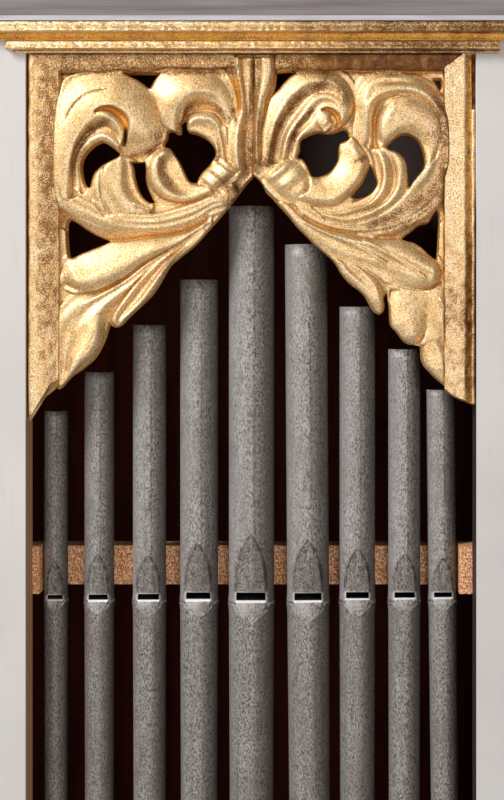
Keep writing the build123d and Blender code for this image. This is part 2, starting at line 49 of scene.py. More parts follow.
def shader(name, color=(0.5, 0.5, 0.5), roughness=0.5, metallic=0.0):
    """New material with one Principled shader; gives the material, its node tree and the shader."""
    material = bpy.data.materials.new(name)
    material.use_nodes = True
    tree = material.node_tree
    principled = tree.nodes["Principled BSDF"]
    principled.inputs["Base Color"].default_value = (*color, 1)
    principled.inputs["Roughness"].default_value = roughness
    principled.inputs["Metallic"].default_value = metallic
    return material, tree, principled


def add_node(tree, kind, sockets=(), **settings):
    """New node with its settings, and its sockets set to numbers or linked to other nodes' outputs."""
    made = tree.nodes.new(kind)
    for setting, value in settings.items():
        setattr(made, setting, value)
    for socket, value in dict(sockets).items():
        if isinstance(value, bpy.types.NodeSocket):
            tree.links.new(value, made.inputs[socket])
        else:
            made.inputs[socket].default_value = value
    return made


def mix(tree, amount, first, second, blend="MIX"):
    """Two colours mixed by an amount."""
    made = add_node(tree, "ShaderNodeMix", data_type="RGBA", blend_type=blend)
    for socket, value in ((made.inputs[0], amount), (made.inputs[6], first), (made.inputs[7], second)):
        if isinstance(value, bpy.types.NodeSocket):
            tree.links.new(value, socket)
        else:
            socket.default_value = (*value, 1) if isinstance(value, tuple) else value
    return made.outputs[2]


floor_reach = 3.0
floor_corners = [(-floor_reach, -floor_reach, 0), (floor_reach, -floor_reach, 0),
                 (floor_reach, floor_reach, 0), (-floor_reach, floor_reach, 0)]
floor_mesh = bpy.data.meshes.new("floor")
floor_mesh.from_pydata(floor_corners, [], [(0, 1, 2, 3)])
floor = bpy.data.objects.new("floor", floor_mesh)
bpy.context.collection.objects.link(floor)
floor_mesh.materials.append(shader("floor_paper", (0.62, 0.62, 0.61), 0.9)[0])

studio = bpy.data.worlds.new("studio")
bpy.context.scene.world = studio
studio.use_nodes = True
air = studio.node_tree
surround = air.nodes["Background"]
seen = add_node(air, "ShaderNodeLightPath").outputs["Is Camera Ray"]
surround_color = mix(air, seen, (0.18, 0.166, 0.155), (0.86, 0.86, 0.85))
air.links.new(surround_color, surround.inputs["Color"])


def lamp(name, spot, aim, size, power, color):
    """Square area lamp at a spot, turned to face a point."""
    light = bpy.data.lights.new(name, "AREA")
    light.size = size
    light.energy = power
    light.color = color
    made = bpy.data.objects.new(name, light)
    bpy.context.collection.objects.link(made)
    made.location = spot
    made.rotation_euler = (Vector(aim) - Vector(spot)).to_track_quat("-Z", "Y").to_euler()


lamp("window", (-1.6, -1.75, 2.0), (0, -0.1, 0.45), 1.0, 63, (1.0, 0.99, 0.97))
lamp("fill", (0.45, -2.3, 0.6), (0, -0.1, 0.45), 1.0, 13, (1.0, 0.94, 0.89))

camera_data = bpy.data.cameras.new("camera")
camera_data.lens = 81.25
camera_data.sensor_width = 36.0
camera_data.shift_x = -0.0786
camera_data.shift_y = -0.125
camera = bpy.data.objects.new("camera", camera_data)
bpy.context.collection.objects.link(camera)
camera.location = (0.046, -1.424, 0.525)
camera.rotation_euler = (math.pi / 2, 0, 0)
bpy.context.scene.camera = camera
bpy.context.scene.view_settings.view_transform = "Standard"

# The case: stiles, rails and thin boards of softwood, joined and glued, and painted white outside. Faces
# that look inward were never painted; they are coloured very dark, partly aged wood and partly painted shade
# inside the case. Near the front, beside the pipes, they are tan at the left and nearly black at the right,
# and a paler patch high inside at the right is painted light.


def place_on(tree, scale=(1, 1, 1)):
    """Object coordinates, stretched along the axes."""
    spot = add_node(tree, "ShaderNodeTexCoord").outputs["Object"]
    return add_node(tree, "ShaderNodeMapping", {"Vector": spot, "Scale": scale}).outputs[0]


def noise(tree, spot, scale, detail=4.0, rough=0.6):
    """Fractal noise from 0 to 1 at a place."""
    sockets = {"Vector": spot, "Scale": scale, "Detail": detail, "Roughness": rough}
    return add_node(tree, "ShaderNodeTexNoise", sockets).outputs["Fac"]


def ramp(tree, amount, *stops):
    """Colour ramp over an amount; each stop is a place and a colour or a grey."""
    made = add_node(tree, "ShaderNodeValToRGB", {"Fac": amount})
    band = made.color_ramp
    while len(band.elements) < len(stops):
        band.elements.new(0.5)
    for element, (position, color) in zip(band.elements, stops):
        element.position = position
        element.color = (*color, 1) if isinstance(color, tuple) else (color, color, color, 1)
    return made.outputs["Color"]


def math_node(tree, operation, *values):
    """One arithmetic step on numbers or outputs."""
    return add_node(tree, "ShaderNodeMath", dict(enumerate(values)), operation=operation).outputs[0]


def bump(tree, height, distance, strength=1.0, under=None):
    """Bump from a height, on top of another bump if there is one."""
    sockets = {"Height": height, "Distance": distance, "Strength": strength}
    if under is not None:
        sockets["Normal"] = under
    return add_node(tree, "ShaderNodeBump", sockets).outputs["Normal"]


outside_paint, paint_tree, paint_shader = shader("case_paint", roughness=0.55)
paint_spot = place_on(paint_tree)
broad = noise(paint_tree, paint_spot, 5.0, 3.0)
fine = noise(paint_tree, place_on(paint_tree, (260, 260, 26)), 1.0, 4.0)
paint_color = ramp(paint_tree, broad, (0.3, (0.58, 0.560, 0.556)), (0.7, (0.67, 0.657, 0.650)))
scuffs = ramp(paint_tree, fine, (0.56, 0.0), (0.74, 0.35))
paint_color = mix(paint_tree, scuffs, paint_color, (0.56, 0.53, 0.52))
case_middle = (0.0, 0.01, 0.386)
reveal_edge = -0.092
reveal_reach = 0.158
case_spot = add_node(paint_tree, "ShaderNodeTexCoord").outputs["Object"]
away = add_node(paint_tree, "ShaderNodeVectorMath", {0: case_spot, 1: case_middle}, operation="SUBTRACT")
facing = add_node(paint_tree, "ShaderNodeNewGeometry").outputs["Normal"]
facing_out = add_node(paint_tree, "ShaderNodeVectorMath", {0: away.outputs[0], 1: facing},
                      operation="DOT_PRODUCT")
painted = math_node(paint_tree, "GREATER_THAN", facing_out.outputs["Value"], 0.0)
# Inward faces are coloured very dark: partly aged bare wood, partly painted shade inside the case.
age_and_painted_light = ramp(paint_tree, noise(paint_tree, place_on(paint_tree, (60, 60, 6)), 1.0),
            (0.3, (0.052, 0.009, 0.006)), (0.7, (0.115, 0.024, 0.015)))
place = add_node(paint_tree, "ShaderNodeSeparateXYZ", {0: case_spot}).outputs
near_front = math_node(paint_tree, "LESS_THAN", place["Y"], reveal_edge)
at_left = math_node(paint_tree, "LESS_THAN", place["X"], -reveal_reach)
at_right = math_node(paint_tree, "GREATER_THAN", place["X"], reveal_reach)
age_and_painted_light = mix(paint_tree, math_node(paint_tree, "MULTIPLY", near_front, at_left), age_and_painted_light, (0.47, 0.28, 0.16))
age_and_painted_light = mix(paint_tree, math_node(paint_tree, "MULTIPLY", near_front, at_right), age_and_painted_light, (0.055, 0.038, 0.038))
# A paler patch high inside at the right is painted light.
painted_light_patch = math_node(paint_tree, "MULTIPLY", ramp(paint_tree, place["X"], (0.03, 0.0), (0.11, 1.0)),
                 ramp(paint_tree, place["Z"], (0.585, 0.0), (0.62, 1.0)))
age_and_painted_light = mix(paint_tree, painted_light_patch, age_and_painted_light, (0.80, 0.68, 0.68))
paint_tree.links.new(mix(paint_tree, painted, age_and_painted_light, paint_color), paint_shader.inputs["Base Color"])
paint_tree.links.new(bump(paint_tree, fine, 0.0002, 0.35), paint_shader.inputs["Normal"])
paint_tree.links.new(ramp(paint_tree, painted, (0.4, 0.04), (0.6, 0.5)),
                     paint_shader.inputs["Specular IOR Level"])



def dress(names, material):
    """Gives the CAD nodes of these names one material."""
    for name in names:
        node_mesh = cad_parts[name].data
        node_mesh.materials.clear()
        node_mesh.materials.append(material)


dress(["left_stile", "right_stile", "top_rail", "bottom_rail", "left_side_panel", "right_side_panel",
       "back_panel", "roof_board", "crown_moulding"], outside_paint)

# Bare softwood inside: the floor, the toe board on its battens, and the rail behind the pipes with its
# cleats. The rail is rough-sawn and reddish; the boards below are browner.
bare_wood, wood_tree, wood_shader = shader("bare_wood", roughness=0.8)
grain = noise(wood_tree, place_on(wood_tree, (40, 700, 700)), 1.0, 5.0, 0.7)
saw = noise(wood_tree, place_on(wood_tree, (850, 850, 600)), 1.0, 3.0, 0.7)
wood_color = ramp(wood_tree, grain, (0.25, (0.84, 0.36, 0.15)), (0.55, (1.0, 0.52, 0.24)),
                  (0.8, (1.0, 0.68, 0.38)))
wood_color = mix(wood_tree, ramp(wood_tree, saw, (0.48, 0.0), (0.56, 1.0)), wood_color, (0.46, 0.13, 0.05))
wood_color = mix(wood_tree, ramp(wood_tree, saw, (0.40, 1.0), (0.46, 0.0)), wood_color, (1.0, 0.84, 0.58))
wood_tree.links.new(wood_color, wood_shader.inputs["Base Color"])
wood_tree.links.new(bump(wood_tree, saw, 0.0006, 0.6), wood_shader.inputs["Normal"])
dress(["pipe_rail", "left_rail_cleat", "right_rail_cleat"], bare_wood)
dark_wood, dark_tree, dark_shader = shader("dark_wood", roughness=0.9)
dark_grain = noise(dark_tree, place_on(dark_tree, (9, 120, 120)), 1.0, 5.0, 0.7)
dark_tree.links.new(ramp(dark_tree, dark_grain, (0.3, (0.035, 0.007, 0.006)), (0.7, (0.10, 0.035, 0.022))),
                    dark_shader.inputs["Base Color"])
dark_shader.inputs["Specular IOR Level"].default_value = 0.05
dress(["floor_board", "toe_board", "left_toe_batten", "right_toe_batten"], dark_wood)

# The gilding: gold leaf over red bole on a thin white ground, worn and dusty, on all the carved and
# moulded work. Pieces carry two numbers at each point: hollow, below zero in the carving's depths, and
# tone. Colour follows hollow: saturated orange in the depths and walls, painted reflected light over some
# red bole; darker brown in shallow hollows, painted shade; pale cream on raised parts, painted highlight.
# Tone below zero darkens, for dust and painted shade; above zero it pales, a painted highlight.
gold_leaf, gold_tree, gold_shader = shader("gold_leaf", (0.8, 0.55, 0.2), 0.45, 0.8)
gold_spot = place_on(gold_tree)
hollow = add_node(gold_tree, "ShaderNodeAttribute", attribute_name="hollow").outputs["Fac"]
tone = add_node(gold_tree, "ShaderNodeAttribute", attribute_name="tone").outputs["Fac"]
mottle = noise(gold_tree, gold_spot, 950.0, 5.0, 0.75)
grains = noise(gold_tree, place_on(gold_tree, (1, 1, 0.8)), 420.0, 3.0, 0.6)
patches = noise(gold_tree, gold_spot, 60.0, 4.0, 0.6)
depth_share = math_node(gold_tree, "MULTIPLY_ADD", hollow, 0.16, 0.5)
depth_share = math_node(gold_tree, "ADD", depth_share,
                        math_node(gold_tree, "MULTIPLY_ADD", patches, 0.18, -0.09))
# Orange depths: painted reflected light; brown shallows: painted shade; pale cream ridges: painted
# highlight.
gold_color = ramp(gold_tree, depth_share, (0.08, (1.0, 0.60, 0.07)), (0.20, (0.98, 0.50, 0.09)),
                  (0.33, (0.62, 0.36, 0.13)), (0.47, (0.94, 0.61, 0.25)), (0.62, (1.0, 0.79, 0.46)),
                  (0.80, (1.0, 0.90, 0.70)))
gold_tree.links.new(ramp(gold_tree, depth_share, (0.15, 0.1), (0.34, 0.82)), gold_shader.inputs["Metallic"])
tone_share = math_node(gold_tree, "MULTIPLY_ADD", tone, 0.5, 0.5)
# Tone tinges the gold: dark brown for dust and painted shade, bluish white for a painted highlight.
tinge = ramp(gold_tree, tone_share, (0.0, (0.15, 0.085, 0.04)), (0.14, (0.36, 0.25, 0.15)),
             (0.5, (1.0, 1.0, 1.0)), (1.0, (1.30, 1.52, 2.10)))
gold_color = mix(gold_tree, 1.0, gold_color, tinge, "MULTIPLY")
fleck = ramp(gold_tree, mottle, (0.42, (0.26, 0.16, 0.08)), (0.49, (0.80, 0.73, 0.62)),
             (0.55, (1.0, 1.0, 1.0)))
fleck_by_tone = ramp(gold_tree, tone_share, (0.04, 0.12), (0.2, 1.0), (0.5, 0.62), (0.7, 0.85))
gold_color = mix(gold_tree, fleck_by_tone, gold_color, fleck, "MULTIPLY")
glint = math_node(gold_tree, "MULTIPLY", ramp(gold_tree, mottle, (0.54, 0.0), (0.64, 0.9)), fleck_by_tone)
gold_color = mix(gold_tree, glint, gold_color, (1.0, 0.86, 0.60))
gold_tree.links.new(gold_color, gold_shader.inputs["Base Color"])
sheen = math_node(gold_tree, "MULTIPLY", ramp(gold_tree, tone_share, (0.15, 0.05), (0.45, 1.0)),
                  ramp(gold_tree, mottle, (0.42, 0.2), (0.52, 1.0)))
sheen = math_node(gold_tree, "MULTIPLY", sheen, ramp(gold_tree, depth_share, (0.22, 0.0), (0.40, 1.0)))
gold_tree.links.new(sheen, gold_shader.inputs["Coat Weight"])
gold_tree.links.new(ramp(gold_tree, depth_share, (0.15, 0.1), (0.35, 0.5)),
                    gold_shader.inputs["Specular IOR Level"])
gold_shader.inputs["Coat Roughness"].default_value = 0.33
gold_shader.inputs["Coat IOR"].default_value = 1.75
gold_tree.links.new(bump(gold_tree, mottle, 0.0006, 0.5, bump(gold_tree, grains, 0.0008, 0.4)),
                    gold_shader.inputs["Normal"])
dress(["cornice_moulding", "frieze_strip", "left_frame_strip", "right_frame_strip", "left_pipe_shade",
       "right_pipe_shade"], gold_leaf)

# The pipes: planed tin-lead sheet rolled and soldered up the back; the mouth is cut and its lips pressed
# flat. A body stands on its languid, the languid on the foot, and a solder bead runs round the joint.
mm = 0.001
front_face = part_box("left_stile")[0][1]
rail_front, rail_clearance = 56.0, 0.3
pipe_places = [-147.0, -114.5, -77.0, -40.0, -1.0, 41.0, 77.5, 112.5, 141.0]
pipe_diameters = [17.6, 22.0, 24.6, 28.0, 33.5, 31.2, 26.5, 23.8, 21.0]
pipe_tops = [442.5, 471.5, 506.5, 540.0, 594.0, 566.0, 520.0, 488.5, 458.5]
pipe_leans = [0.0, 0.0, 0.0, 0.0, 0.0, -0.37, 0.0, 0.0, -0.58]
pipe_wall = 0.9
mouth_height = 305.0
toe_height = 66.1
mouth_ratio = 0.66
cut_up_ratio = 0.25
upper_lip_ratio = 1.86
lower_lip_ratio = 0.75
lip_step = 0.3
lip_edge = 0.35
front_columns, back_columns = 45, 34

# Each mouth was cut by hand: how far it lies below the highest one, and how much longer its upper leaf is
mouth_drops = [1.9, 1.7, 1.3, 0.3, 0.5, 0.8, 0.0, 0.0, 0.0]
lip_rises = [3.8, 3.4, -1.0, 1.8, 1.8, 1.2, 0.0, 0.0, 0.0]
tongue_height = 2.4
languid_thickness = 1.6
foot_taper = 0.95
toe_cone_ratio = 1.0
toe_radius = 5.0
back_line = front_face / mm + rail_front - rail_clearance

pipe_metal, metal_tree, metal_shader = shader("pipe_metal", roughness=0.5, metallic=0.35)
metal_spot = place_on(metal_tree)
speck = noise(metal_tree, place_on(metal_tree, (1, 1, 0.55)), 900.0, 4.0, 0.75)
streak = noise(metal_tree, place_on(metal_tree, (260, 260, 9)), 1.0, 4.0, 0.6)
cloud = noise(metal_tree, metal_spot, 28.0, 4.0, 0.6)
metal_color = ramp(metal_tree, speck, (0.40, (0.050, 0.043, 0.037)), (0.48, (0.27, 0.248, 0.230)),
                   (0.60, (0.49, 0.462, 0.443)))
streaked = ramp(metal_tree, streak, (0.45, 0.0), (0.75, 0.6))
metal_color = mix(metal_tree, streaked, metal_color, (0.165, 0.145, 0.130))
clouded = ramp(metal_tree, cloud, (0.40, 0.0), (0.72, 0.5))
metal_color = mix(metal_tree, clouded, metal_color, (0.18, 0.150, 0.128))
# Tone from the pipes' points: below its middle the metal darkens toward near black, painted shade; above it
# the metal pales toward light grey, painted highlight.
painted_light_tone = math_node(metal_tree, "MULTIPLY_ADD",
                 add_node(metal_tree, "ShaderNodeAttribute", attribute_name="tone").outputs["Fac"], 0.5, 0.5)
painted_shade_share = ramp(metal_tree, painted_light_tone, (0.0, 1.0), (0.5, 0.0))
metal_color = mix(metal_tree, painted_shade_share, metal_color, (0.045, 0.036, 0.030))
painted_highlight_share = ramp(metal_tree, painted_light_tone, (0.5, 0.0), (1.0, 1.0))
metal_color = mix(metal_tree, painted_highlight_share, metal_color, (0.80, 0.78, 0.82))
metal_tree.links.new(metal_color, metal_shader.inputs["Base Color"])
metal_tree.links.new(bump(metal_tree, speck, 0.0005, 0.6, bump(metal_tree, streak, 0.0004, 0.3)),
                     metal_shader.inputs["Normal"])

# Inner faces of the pipes are nearly black: painted shade inside the tubes.
pipe_inside, _, inside_shader = shader("pipe_inside", (0.012, 0.008, 0.007), 0.95)
inside_shader.inputs["Specular IOR Level"].default_value = 0.05


def surface(name, points, material, cells=None):
    """Mesh of a ring grid of points, rows by columns by 3, in millimetres; its last column joins its first.

    Only the cells that are True are kept, and points that no cell uses are dropped.
    """
    rows, columns = points.shape[:2]
    number = np.arange(rows * columns).reshape(rows, columns)
    after = np.roll(number, -1, axis=1)
    corners = np.stack([number[:-1], after[:-1], after[1:], number[1:]], axis=-1)
    corners = corners.reshape(-1, 4) if cells is None else corners[cells]
    used, corners = np.unique(corners, return_inverse=True)
    return put_mesh(name, points.reshape(-1, 3)[used], corners.reshape(-1, 4), material)


def put_mesh(name, points, corners, material):
    """Object from points in millimetres and faces of equal corner count."""
    mesh = bpy.data.meshes.new(name)
    mesh.vertices.add(len(points))
    mesh.vertices.foreach_set("co", (np.asarray(points, float) * mm).ravel())
    mesh.loops.add(corners.size)
    mesh.loops.foreach_set("vertex_index", corners.astype(np.int32).ravel())
    mesh.polygons.add(len(corners))
    mesh.polygons.foreach_set("loop_start", np.arange(0, corners.size, corners.shape[1], dtype=np.int32))
    mesh.polygons.foreach_set("use_smooth", np.full(len(corners), True))
    mesh.update(calc_edges=True)
    mesh.validate()
    mesh.materials.append(material)
    made = bpy.data.objects.new(name, mesh)
    bpy.context.collection.objects.link(made)
    return made


def give_wall(piece, thickness):
    """Wall of even thickness behind a surface."""
    wall = piece.modifiers.new("wall", "SOLIDIFY")
    wall.thickness = thickness * mm
    wall.offset = -1.0
    wall.use_even_offset = True
    return wall


def mark_points(piece, name, values):
    """A number at each of a piece's points, read by its material."""
    mark = piece.data.attributes.new(name, "FLOAT", "POINT")
    mark.data.foreach_set("value", np.ravel(values).astype(np.float32))


def ripples(x, y, size, seed):
    """Smooth random field from -1 to 1: a lattice of random heights, blended by smoothstep."""
    lattice = np.random.default_rng(seed).uniform(-1, 1, (256, 256))
    u, v = np.asarray(x, float) / size, np.asarray(y, float) / size
    i, j = np.floor(u).astype(int), np.floor(v).astype(int)
    s, t = u - i, v - j
    s, t = s * s * (3 - 2 * s), t * t * (3 - 2 * t)
    i, j, i1, j1 = i % 256, j % 256, (i + 1) % 256, (j + 1) % 256
    return ((lattice[i, j] * (1 - s) + lattice[i1, j] * s) * (1 - t)
            + (lattice[i, j1] * (1 - s) + lattice[i1, j1] * s) * t)


def lip_profile(x, z, radius, base, tip, half_mouth, roundness):
    """How far a flat lip lies behind the tube's front line.

    A plane leans from the chord as wide as the mouth at the base to the tube's face at the tip. Inside
    a leaf outline, half_mouth * (1 - share ** roundness), the surface is the deeper of tube and plane.
    """
    share = np.clip((z - base) / (tip - base), 0, 1)
    chord = radius - math.sqrt(radius**2 - half_mouth**2)
    tube = radius - np.sqrt(np.maximum(radius**2 - x**2, 0))
    plane = chord + (lip_step - chord) * share
    half = half_mouth * (1 - share**roundness)
    within = np.clip((half - np.abs(x)) / lip_edge + 0.5, 0, 1) * ((z - base) / (tip - base) > -1e-6)
    return np.maximum(plane - tube, 0) * within


def leaf_gap(x, z, base, tip, half_mouth, roundness):
    """How far a point lies inside a lip's leaf outline across the pipe, and whether it is level with it."""
    share = (z - base) / (tip - base)
    return half_mouth * (1 - share.clip(0, 1) ** roundness) - np.abs(x), (share > -0.02) & (share < 1)


def hump(distance, width):
    """Bell curve: 1 at no distance, falling to nothing within about two widths."""
    return np.exp(-(distance / width) ** 2)


def pipe_columns(radius, half_mouth):
    """Angles round a pipe, from the mouth's left edge: close over the mouth, wider apart behind it."""
    front = np.arcsin(np.linspace(-half_mouth, half_mouth, front_columns) / radius)
    behind = np.linspace(front[-1], 2 * math.pi + front[0], back_columns)[1:-1]
    return np.concatenate([front, behind])


def stand(points, number):
    """Moves points from a pipe's own place, toe at the origin, to its lean and place in the case."""
    lean = math.radians(pipe_leans[number])
    radius = pipe_diameters[number] / 2
    toe_x = pipe_places[number] - (mouth_height - toe_height) * math.tan(lean)
    x, y, z = points[..., 0], points[..., 1], points[..., 2]
    return np.stack([toe_x + x * math.cos(lean) + z * math.sin(lean), back_line - radius + y,
                     toe_height - x * math.sin(lean) + z * math.cos(lean)], axis=-1)


def turned(radius_at, angles, heights):
    """Grid of a round form: a radius for each height, carried round the angles; angle 0 faces the front."""
    angle, height = np.meshgrid(angles, heights)
    radius = radius_at[:, None] * np.ones_like(angle)
    return np.stack([radius * np.sin(angle), -radius * np.cos(angle), height], axis=-1)


joint_bulge = 0.6
bulge_reach = 4.0
# Strength of the painted highlight along the solder bead.
bead_highlight = 0.12
ear_reach = 0.83
upper_roundness = 3.0
lower_roundness = 2.2
streak_place = 0.18
streak_start = 8
slot_rows, upper_leaf_rows, tube_rows = 5, 52, 24
cone_rows, foot_rows, lower_leaf_rows, tongue_rows = 6, 20, 28, 6


def painted_side_light(share):
    """Painted light across a pipe from its left side to its right: a painted highlight at the left, painted
    shade past the middle.
    """
    return np.interp(share, [-1.0, -0.75, 0.05, 0.28, 0.7, 1.0], [0.36, 0.20, 0.04, -0.28, -0.44, -0.72])


def mark_kept(piece, values, cells):
    """Marks a closed grid's kept points with their tone, painted highlight and painted shade."""
    number = np.arange(values.size).reshape(values.shape)
    after = np.roll(number, -1, axis=1)
    used = np.unique(np.stack([number[:-1], after[:-1], after[1:], number[1:]], axis=-1)[cells])
    mark_points(piece, "tone", values.ravel()[used])


for number in range(len(pipe_places)):
    radius = pipe_diameters[number] / 2
    half_mouth = mouth_ratio * radius
    mouth = mouth_height - toe_height - mouth_drops[number]
    joint = mouth_height - toe_height - tongue_height - languid_thickness
    upper_lip = mouth + cut_up_ratio * 2 * half_mouth
    leaf_tip = upper_lip + upper_lip_ratio * 2 * half_mouth + lip_rises[number]
    lower_tip = mouth - lower_lip_ratio * 2 * half_mouth
    rim = pipe_tops[number] - toe_height
    angles = pipe_columns(radius, half_mouth)

    heights = np.concatenate([np.linspace(joint + languid_thickness, upper_lip, slot_rows)[:-1],
                              np.linspace(upper_lip, leaf_tip, upper_leaf_rows)[:-1],
                              np.linspace(leaf_tip, rim, tube_rows)])
    body = turned(radius + joint_bulge * hump(heights - joint, bulge_reach), angles, heights)
    x, front, z = body[..., 0], body[..., 1] < 0, body[..., 2]
    body[..., 1] += lip_profile(x, z, radius, upper_lip, leaf_tip, half_mouth, upper_roundness) * front
    gap, level = leaf_gap(x, z, upper_lip, leaf_tip, half_mouth, upper_roundness)
    # Painted light on the body: a painted highlight on the left side and painted shade past the middle, with
    # a little random tone; painted shade along and inside the upper leaf; painted highlights on the upper
    # lip's edge, beside the mouth and above the bead; a dark streak a little right of the middle, above the
    # mouth.
    painted_light_tone = painted_side_light(x / radius) + 0.08 * ripples(x * 2, z, 5.0, 20 + number)
    painted_light_tone -= level * (0.55 * hump(gap + 0.2, 0.9) + 0.26 * (gap > 0)) * (1 + 0.6 * ripples(x, z, 3.0, 40))
    dark_streak = hump(x - streak_place * radius, 0.6) * (z > upper_lip + streak_start)
    painted_light_tone -= (gap < 0) * 0.34 * dark_streak * (1 + ripples(x, z, 9.0, 30 + number))
    painted_light_tone += 1.1 * hump(z - upper_lip, 0.6) * (np.abs(x) < half_mouth + 0.8) * (gap > -1.4)
    painted_light_tone += 1.0 * hump(np.abs(x) - half_mouth - 0.6, 0.5) * (z < upper_lip) * front
    painted_light_tone += bead_highlight * hump(z - joint - languid_thickness, 0.5)
    cells = np.ones((len(heights) - 1, len(angles)), bool)
    cells[:slot_rows - 1, :front_columns - 1] = False
    body_piece = surface("pipe_body_" + str(number + 1) + "_metal", stand(body, number), pipe_metal, cells)
    mark_kept(body_piece, painted_light_tone, cells)
    body_piece.data.materials.append(pipe_inside)
    give_wall(body_piece, pipe_wall).material_offset = 1
    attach(body_piece, "root")
    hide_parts("pipe_body_" + str(number + 1))

    cone_height = toe_cone_ratio * 2 * radius
    heights = np.concatenate([np.linspace(0, cone_height, cone_rows),
                              np.linspace(cone_height, lower_tip, foot_rows)[1:],
                              np.linspace(lower_tip, joint, lower_leaf_rows)[1:],
                              np.linspace(joint, mouth, tongue_rows)[1:]])
    taper = np.interp(heights, [0, cone_height, joint, mouth],
                      [toe_radius, foot_taper * radius, radius, radius])
    foot = turned(taper + joint_bulge * hump(heights - joint, bulge_reach), angles, heights)
    x, front, z = foot[..., 0], foot[..., 1] < 0, foot[..., 2]
    foot[..., 1] += lip_profile(x, z, radius, mouth, lower_tip, half_mouth, lower_roundness) * front
    gap, level = leaf_gap(x, z, mouth, lower_tip, ear_reach * radius, lower_roundness)
    # Painted light on the foot: the same painted highlight and shade from side to side, a little darker
    # overall; painted highlights along the lower leaf's edges, most at the right, on the leaf's upper part
    # and on the lower lip; a painted highlight above the bead and painted shade just under it.
    painted_light_tone = painted_side_light(x / radius) - 0.12 + 0.08 * ripples(x * 2, z, 5.0, 50 + number)
    beside = np.clip(np.abs(x) / half_mouth, 0, 1) ** 2
    painted_light_tone += level * front * np.where(x > 0, 1.3, 0.4) * hump(gap - 0.2, 0.55) * beside
    painted_light_tone += level * front * (gap > 0) * 0.26 * np.clip((z - lower_tip) / (mouth - lower_tip) * 1.5, 0, 1)
    painted_light_tone += 1.3 * (z > mouth - 1.5) * (np.abs(x) < half_mouth + 0.4) * front
    painted_light_tone += (bead_highlight * hump(z - joint, 0.5) - 0.2 * hump(z - joint + 1.6, 0.7)) * ((gap < 0) | ~front)
    cells = np.ones((len(heights) - 1, len(angles)), bool)
    cells[1 - tongue_rows:, front_columns - 1:] = False
    foot_piece = surface("pipe_foot_" + str(number + 1) + "_metal", stand(foot, number), pipe_metal, cells)
    mark_kept(foot_piece, painted_light_tone, cells)
    foot_piece.data.materials.append(pipe_inside)
    give_wall(foot_piece, pipe_wall).material_offset = 1
    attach(foot_piece, "root")
    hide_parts("pipe_foot_" + str(number + 1))

dress(["languids"], pipe_metal)

# The carved shades: two pierced boards of limewood, carved into acanthus scrolls and gilded, glued in
# behind the frame. Outlines and leaves are given in pixels of the photograph, heights in millimetres over
# the shade's ground.
pixel = 0.72
middle_column = 251.0
top_height = 741.0
map_left, map_right, map_top, map_bottom = 40.0, 480.0, 48.0, 410.0
map_step = 0.45
eye_column, eye_height, eye_distance = 46.0, 525.0, 1300.0
grid_step = 0.95
snap_share = 0.55
corner_turn = math.radians(55)
curve_parts = 6
ground_level = -1.0
edge_reach = 2.2
edge_drop = 1.3
shade_recess = 2.0
hollow_limit = 0.7
shade_back = 12.0
top_dust_and_shade_line = 76.5
stem_middle, stem_reach = 254.5, 21
map_columns, map_rows = np.meshgrid(np.arange(map_left, map_right, map_step),
                                    np.arange(map_top, map_bottom, map_step))


def along(points, share):
    """Catmull-Rom line: a cubic between two points whose slopes come from the points on either side."""
    points = np.asarray(points, float)
    start = np.minimum(share.astype(int), len(points) - 2)
    part = (share - start)[:, None]
    padded = np.concatenate([[2 * points[0] - points[1]], points, [2 * points[-1] - points[-2]]])
    before, first, second, after = (padded[start + k] for k in range(4))
    return 0.5 * (2 * first + (second - before) * part
                  + (2 * before - 5 * first + 4 * second - after) * part**2
                  + (3 * first - before - 3 * second + after) * part**3)


def traced(x, outward, z):
    """Points at a distance before the front face, drawn toward the viewpoint so that outlines stay true."""
    share = 1 - outward / eye_distance
    return np.stack([eye_column + (x - eye_column) * share, front_face / mm - outward,
                     eye_height + (z - eye_height) * share], axis=-1)


def carve_leaf(relief, painted, pairs, rows):
    """One leaf on the relief map: straight across between its edge lines, smooth through its rows."""
    pairs = np.asarray(pairs, float)
    lengths = np.hypot(*(pairs[1:] - pairs[:-1]).reshape(-1, 2, 2).max(axis=1).T).sum()
    widths = np.hypot(pairs[:, 2] - pairs[:, 0], pairs[:, 3] - pairs[:, 1]).max()
    share = np.linspace(0, len(pairs) - 1, int(3.5 * lengths / map_step))
    across = np.linspace(0, 1, int(2.5 * widths / map_step) + 8)
    edges = along(pairs, share)
    spots = edges[:, None, :2] * (1 - across)[None, :, None] + edges[:, None, 2:] * across[None, :, None]
    places = np.array([place for place, _ in rows], float)
    table = np.array([line for _, line in rows], float)
    heights = np.stack([np.interp(share, places, table[:, k]) for k in range(table.shape[1])], axis=1)
    crest = along(heights.T, across * (table.shape[1] - 1)).T
    column = np.rint((spots[..., 0] - map_left) / map_step).astype(int)
    row = np.rint((spots[..., 1] - map_top) / map_step).astype(int)
    index = (row * relief.shape[1] + column).ravel()
    count = np.bincount(index, minlength=relief.size).reshape(relief.shape)
    total = np.bincount(index, crest.ravel(), relief.size).reshape(relief.shape)
    relief[count > 0] = (total / np.maximum(count, 1))[count > 0]
    painted[count > 0] = True


def blur(field, times):
    """Weighted mean (1, 2, 1) over rows and columns, a number of times."""
    for _ in range(times):
        field = (field + np.roll(field, 1, axis=0) + np.roll(field, -1, axis=0) + field) / 4
        field = (field + np.roll(field, 1, axis=1) + np.roll(field, -1, axis=1) + field) / 4
    return field


def line_gap(x, y, points):
    """Distance from places to a smooth line through points."""
    nearest = np.full(np.shape(x), np.inf)
    for column, row in along(points, np.linspace(0, len(points) - 1, 12 * len(points))):
        nearest = np.minimum(nearest, (x - column) ** 2 + (y - row) ** 2)
    return np.sqrt(nearest)


